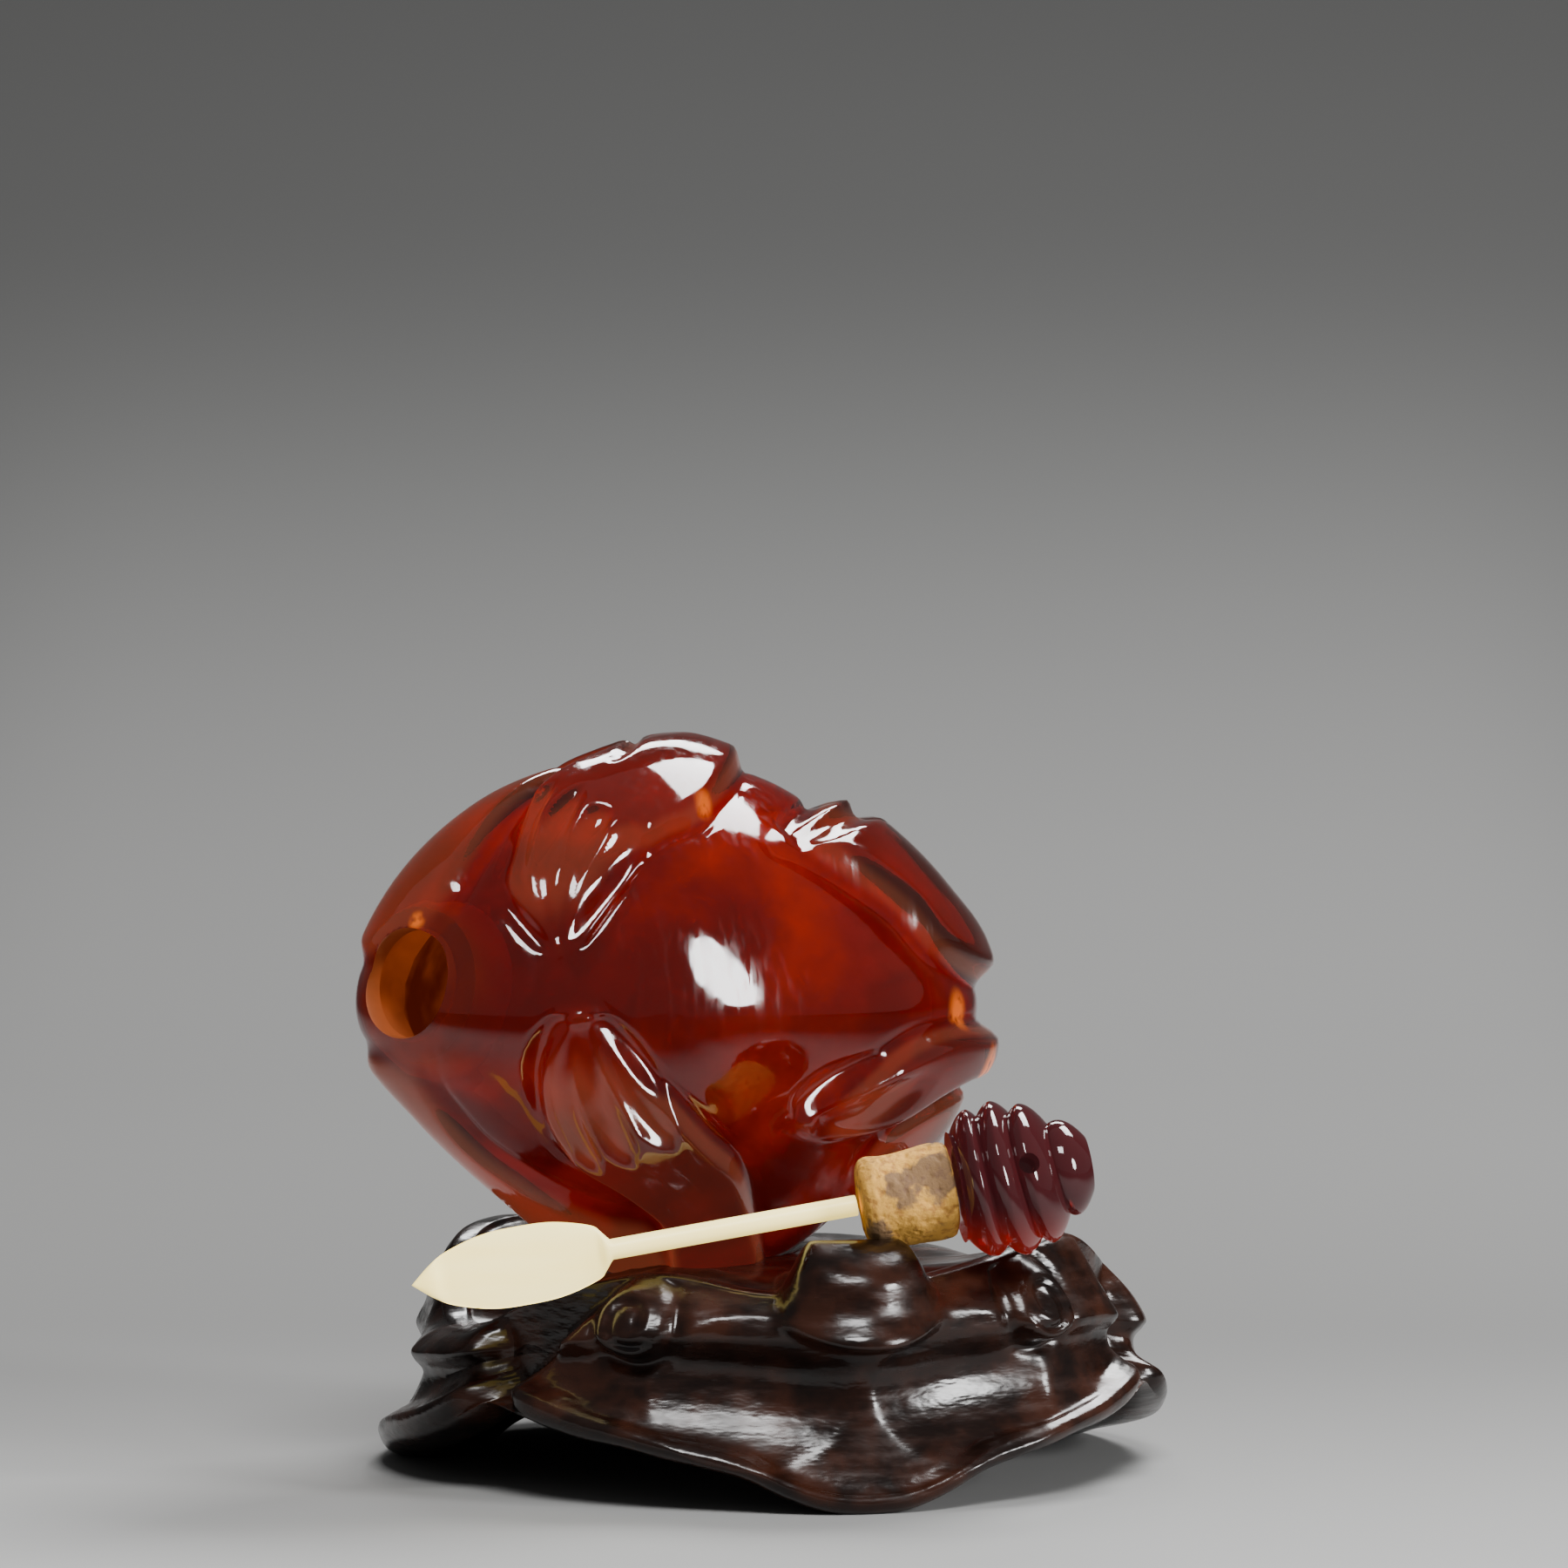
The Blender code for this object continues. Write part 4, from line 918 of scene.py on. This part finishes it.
stopper = rolled_grid("amber_stopper", 120, 150, stopper_places)
stopper_amber = amber_finish("stopper_amber", (0.06, 0.012, 0.014), 0.06, 900.0, 0.5)
# The stopper's emission is a painted glow: dim purple-red above, and red at its lower side as if
# lit from below.
lit_from_below = stopper_amber.axis("Z").between(0.0235, 0.0190)
stopper_amber.feed("Emission Color", stopper_amber.blend(lit_from_below, (0.020, 0.003, 0.004, 1.0),
                                                         (0.17, 0.006, 0.003, 1.0)))
stopper_amber.shader.inputs["Emission Strength"].default_value = 1.0
put_on(stopper, stopper_amber)
aim = Matrix.Rotation(math.radians(-90), 4, "Z") @ Matrix.Rotation(math.radians(-12), 4, "Y")
drill_spot = Matrix.Translation((STOPPER_START + HOLE_SHARE * STOPPER_LENGTH, -0.0049, 0.0014))
drill = turned("drill", [(-0.003, HOLE_RADIUS), (0.004, HOLE_RADIUS)], 32,
               line_frame @ drill_spot @ aim)
put_on(drill, stopper_amber)
cut_out(stopper, drill)
polish(stopper, 0, 60)

# %% Roll up the spoon
SPOON_LENGTH = 0.0348
STEM_RADIUS = 0.0008
BOWL_LENGTH = 0.0155
BOWL_HALF_WIDTH = 0.00305
BOWL_HALF_THICKNESS = 0.00065
BOWL_HOLLOW = 0.0004
BOWL_MARKS = (0.0, 0.03, 0.08, 0.26, 0.44, 0.62, 0.8, 0.9, 1.0)
BOWL_WIDTHS = (0.27, 0.47, 0.70, 0.95, 1.0, 0.95, 0.70, 0.42, 0.0)


def spoon_places(around, along):
    """A round stem that flattens into a leaf-shaped bowl with a shallow hollow."""
    reach = np.interp(along, (0.0, 0.04, 1.0), (0.0, 0.0, 1.0))
    stem_share = 1.0 - BOWL_LENGTH / SPOON_LENGTH
    share = np.clip((reach - stem_share) / (1.0 - stem_share), 0.0, 1.0)
    fine = spline_rows(np.column_stack([BOWL_MARKS, BOWL_WIDTHS]), False, 6)
    width = np.maximum(np.interp(share, fine[:, 0], fine[:, 1]), 0.0) * BOWL_HALF_WIDTH
    width = np.where(share <= 0.0, STEM_RADIUS, width)
    thick = BOWL_HALF_THICKNESS * (1.0 - 0.45 * share ** 3)
    thick = thick + (STEM_RADIUS - thick) * (1.0 - smooth_step(share, 0.0, 0.15))
    thick = thick * np.sqrt(np.clip((1.0 - share) * 14.0, 0.0, 1.0))
    start = np.interp(along, (0.0, 0.04), (0.0, 1.0))
    width = width * start
    thick = thick * start
    turn = math.tau * around
    hollow = BOWL_HOLLOW * np.maximum(np.cos(turn), 0.0) ** 0.5
    hollow = hollow * smooth_step(width, 1.5 * STEM_RADIUS, 2.6 * STEM_RADIUS)
    hollow = hollow * (1.0 - smooth_step(share, 0.85, 1.0))
    spots = np.column_stack([-0.0003 - SPOON_LENGTH * reach, -thick * np.cos(turn) + hollow,
                             width * np.sin(turn)])
    return in_line(spots)


spoon = rolled_grid("bone_spoon", 48, 170, spoon_places)
polish(spoon, 0, 50)

# %% [markdown]
# Old bone
#
# The spoon is pale bone, polished by use and a little translucent. A weak warm glow stands
# in for the light that bone scatters inside, and noise stretched along it draws its fibres.

# %% Bone finish
bone = Finish("polished_bone", {"Roughness": 0.38, "Emission Color": (1.0, 0.76, 0.18, 1.0),
                                "Emission Strength": 1.5})
fibres = bone.cloud(420.0, 4.0, (0.12, 1.0, 1.0)).between(0.35, 0.70)
bone.feed("Base Color", bone.blend(fibres, (1.0, 0.90, 0.48, 1.0), (0.96, 0.82, 0.36, 1.0)))
bone.bump(bone.cloud(900.0, 3.0, (0.12, 1.0, 1.0)), 0.00003, 0.4)
put_on(spoon, bone)
print("bone finish is on the spoon")

# %% [markdown]
# The pieces take their places
#
# Each new piece moves with the one body of the model and replaces its solid.

# %% Bind the pieces to the frame
for piece, node, slot in ((bottle, "bottle", "amber"), (stopper, "stopper", "stopper_amber"),
                          (cork, "cork", "cork"), (spoon, "spoon", "bone"),
                          (stand, "stand", "hardwood")):
    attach(piece, "root")
    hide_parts(node)
print("five pieces replace five solids")

# %% [markdown]
# Floor, backdrop and light
#
# The floor is a sheet that bends up behind the object into a grey backdrop. Its colour is
# painted light and shade: a pale pool of painted light round the object, brightest in front,
# and painted shade, nearly black, on the rest of the floor, because polished amber mirrors the
# whole room. Four softboxes light the scene. One at the right gives the round highlight on the
# belly, and one above the camera gives those on the leaves and the stand. Two weak ones behind
# light the top edges.

# %% Floor and backdrop
BEND_START = 0.35
BEND_RADIUS = 0.4
SHEET_FRONT = -1.0
SHEET_RUN = 3.0
SHEET_HALF_WIDTH = 1.5


def stage_sheet():
    """A floor that bends up into a backdrop."""
    quarter = math.pi / 2
    clear_selection()
    bpy.ops.mesh.primitive_grid_add(x_subdivisions=2, y_subdivisions=60, size=2)
    sheet = bpy.context.object
    sheet.name = "floor_and_backdrop"
    flat = points_of(sheet)
    run = (flat[:, 1] + 1.0) / 2.0 * SHEET_RUN + SHEET_FRONT
    bend = np.clip((run - BEND_START) / (BEND_RADIUS * quarter), 0.0, 1.0) * quarter
    past = np.maximum(run - BEND_START - BEND_RADIUS * quarter, 0.0)
    depth = np.where(run < BEND_START, run, BEND_START + BEND_RADIUS * np.sin(bend))
    height = np.where(run < BEND_START, 0.0, BEND_RADIUS * (1 - np.cos(bend)) + past)
    move_points(sheet, np.column_stack([flat[:, 0] * SHEET_HALF_WIDTH, depth, height]))
    bpy.ops.object.shade_smooth()
    return sheet


sheet = stage_sheet()
paper = Finish("pale_paper", {"Roughness": 0.9, "Specular IOR Level": 0.0})
height_up = paper.axis("Z")
depth_in = paper.axis("Y")
sideways = paper.axis("X")
sideways = sideways.math("ABSOLUTE", sideways)
# Painted light and shade on the floor: a pale pool round the object that dims towards the back, and
# a nearly black floor elsewhere.
light_pool_mask = depth_in.between(-0.13, -0.06) * sideways.between(0.22, 0.09)
light_pool_tone = paper.blend(depth_in.between(-0.12, 0.10), (0.38, 0.38, 0.376, 1.0),
                        (0.165, 0.165, 0.163, 1.0))
floor_light_and_shade = paper.blend(light_pool_mask, (0.03, 0.03, 0.03, 1.0), light_pool_tone)
paper.feed("Base Color", paper.blend(height_up.between(0.0, 0.12), floor_light_and_shade,
                                     (0.068, 0.068, 0.067, 1.0)))
put_on(sheet, paper)
print("the backdrop bends up 0.35 m behind the object")


# %% Lights
def softbox(name, shape, distance, around, up, size, power):
    """A soft light that faces the bottle; around is measured from the camera, in degrees."""
    around, up = math.radians(around), math.radians(up)
    place = distance * Vector((math.sin(around) * math.cos(up),
                               -math.cos(around) * math.cos(up), math.sin(up)))
    bpy.ops.object.light_add(type="AREA", location=place + BOTTLE_MIDDLE)
    light = bpy.context.object
    light.name = name
    light.data.shape = shape
    light.data.size, light.data.size_y = size
    light.data.energy = power
    light.rotation_euler = (-place).to_track_quat("-Z", "Y").to_euler()
    return light


softbox("main_softbox", "ELLIPSE", 1.10, 60.0, 16.0, (0.26, 0.40), 13.0)
softbox("front_softbox", "RECTANGLE", 1.10, 8.0, 50.0, (0.42, 0.30), 13.0)
softbox("top_softbox", "RECTANGLE", 0.62, 138.0, 52.0, (0.28, 0.22), 5.5)
softbox("back_softbox", "RECTANGLE", 0.62, 176.0, 34.0, (0.26, 0.10), 1.4)
world = bpy.data.worlds.new("studio")
world.use_nodes = True
room = world.node_tree.nodes["Background"]
room.inputs["Color"].default_value = (0.8, 0.8, 0.8, 1.0)
room.inputs["Strength"].default_value = 0.22
bpy.context.scene.world = world
print("four softboxes")

# %% [markdown]
# The camera
#
# The photo was taken with a long lens a little above the object. The lens and the distance
# follow from the object's scale and the height of the stand's far rim.

# %% Camera
LENS = 177.146
CAMERA_OFFSET = 0.000907
CAMERA_DEPTH = -0.614264
CAMERA_HEIGHT = 0.084144
CAMERA_DROP = 2.7846
camera_data = bpy.data.cameras.new("photo_camera")
camera_data.lens = LENS
camera_data.sensor_width = 36.0
camera = bpy.data.objects.new("photo_camera", camera_data)
camera.location = (STAND_AXIS.x + CAMERA_OFFSET, CAMERA_DEPTH, CAMERA_HEIGHT)
camera.rotation_euler = (math.radians(90.0 - CAMERA_DROP), 0.0, 0.0)
bpy.context.scene.collection.objects.link(camera)
bpy.context.scene.camera = camera
print("lens in mm:", camera_data.lens)
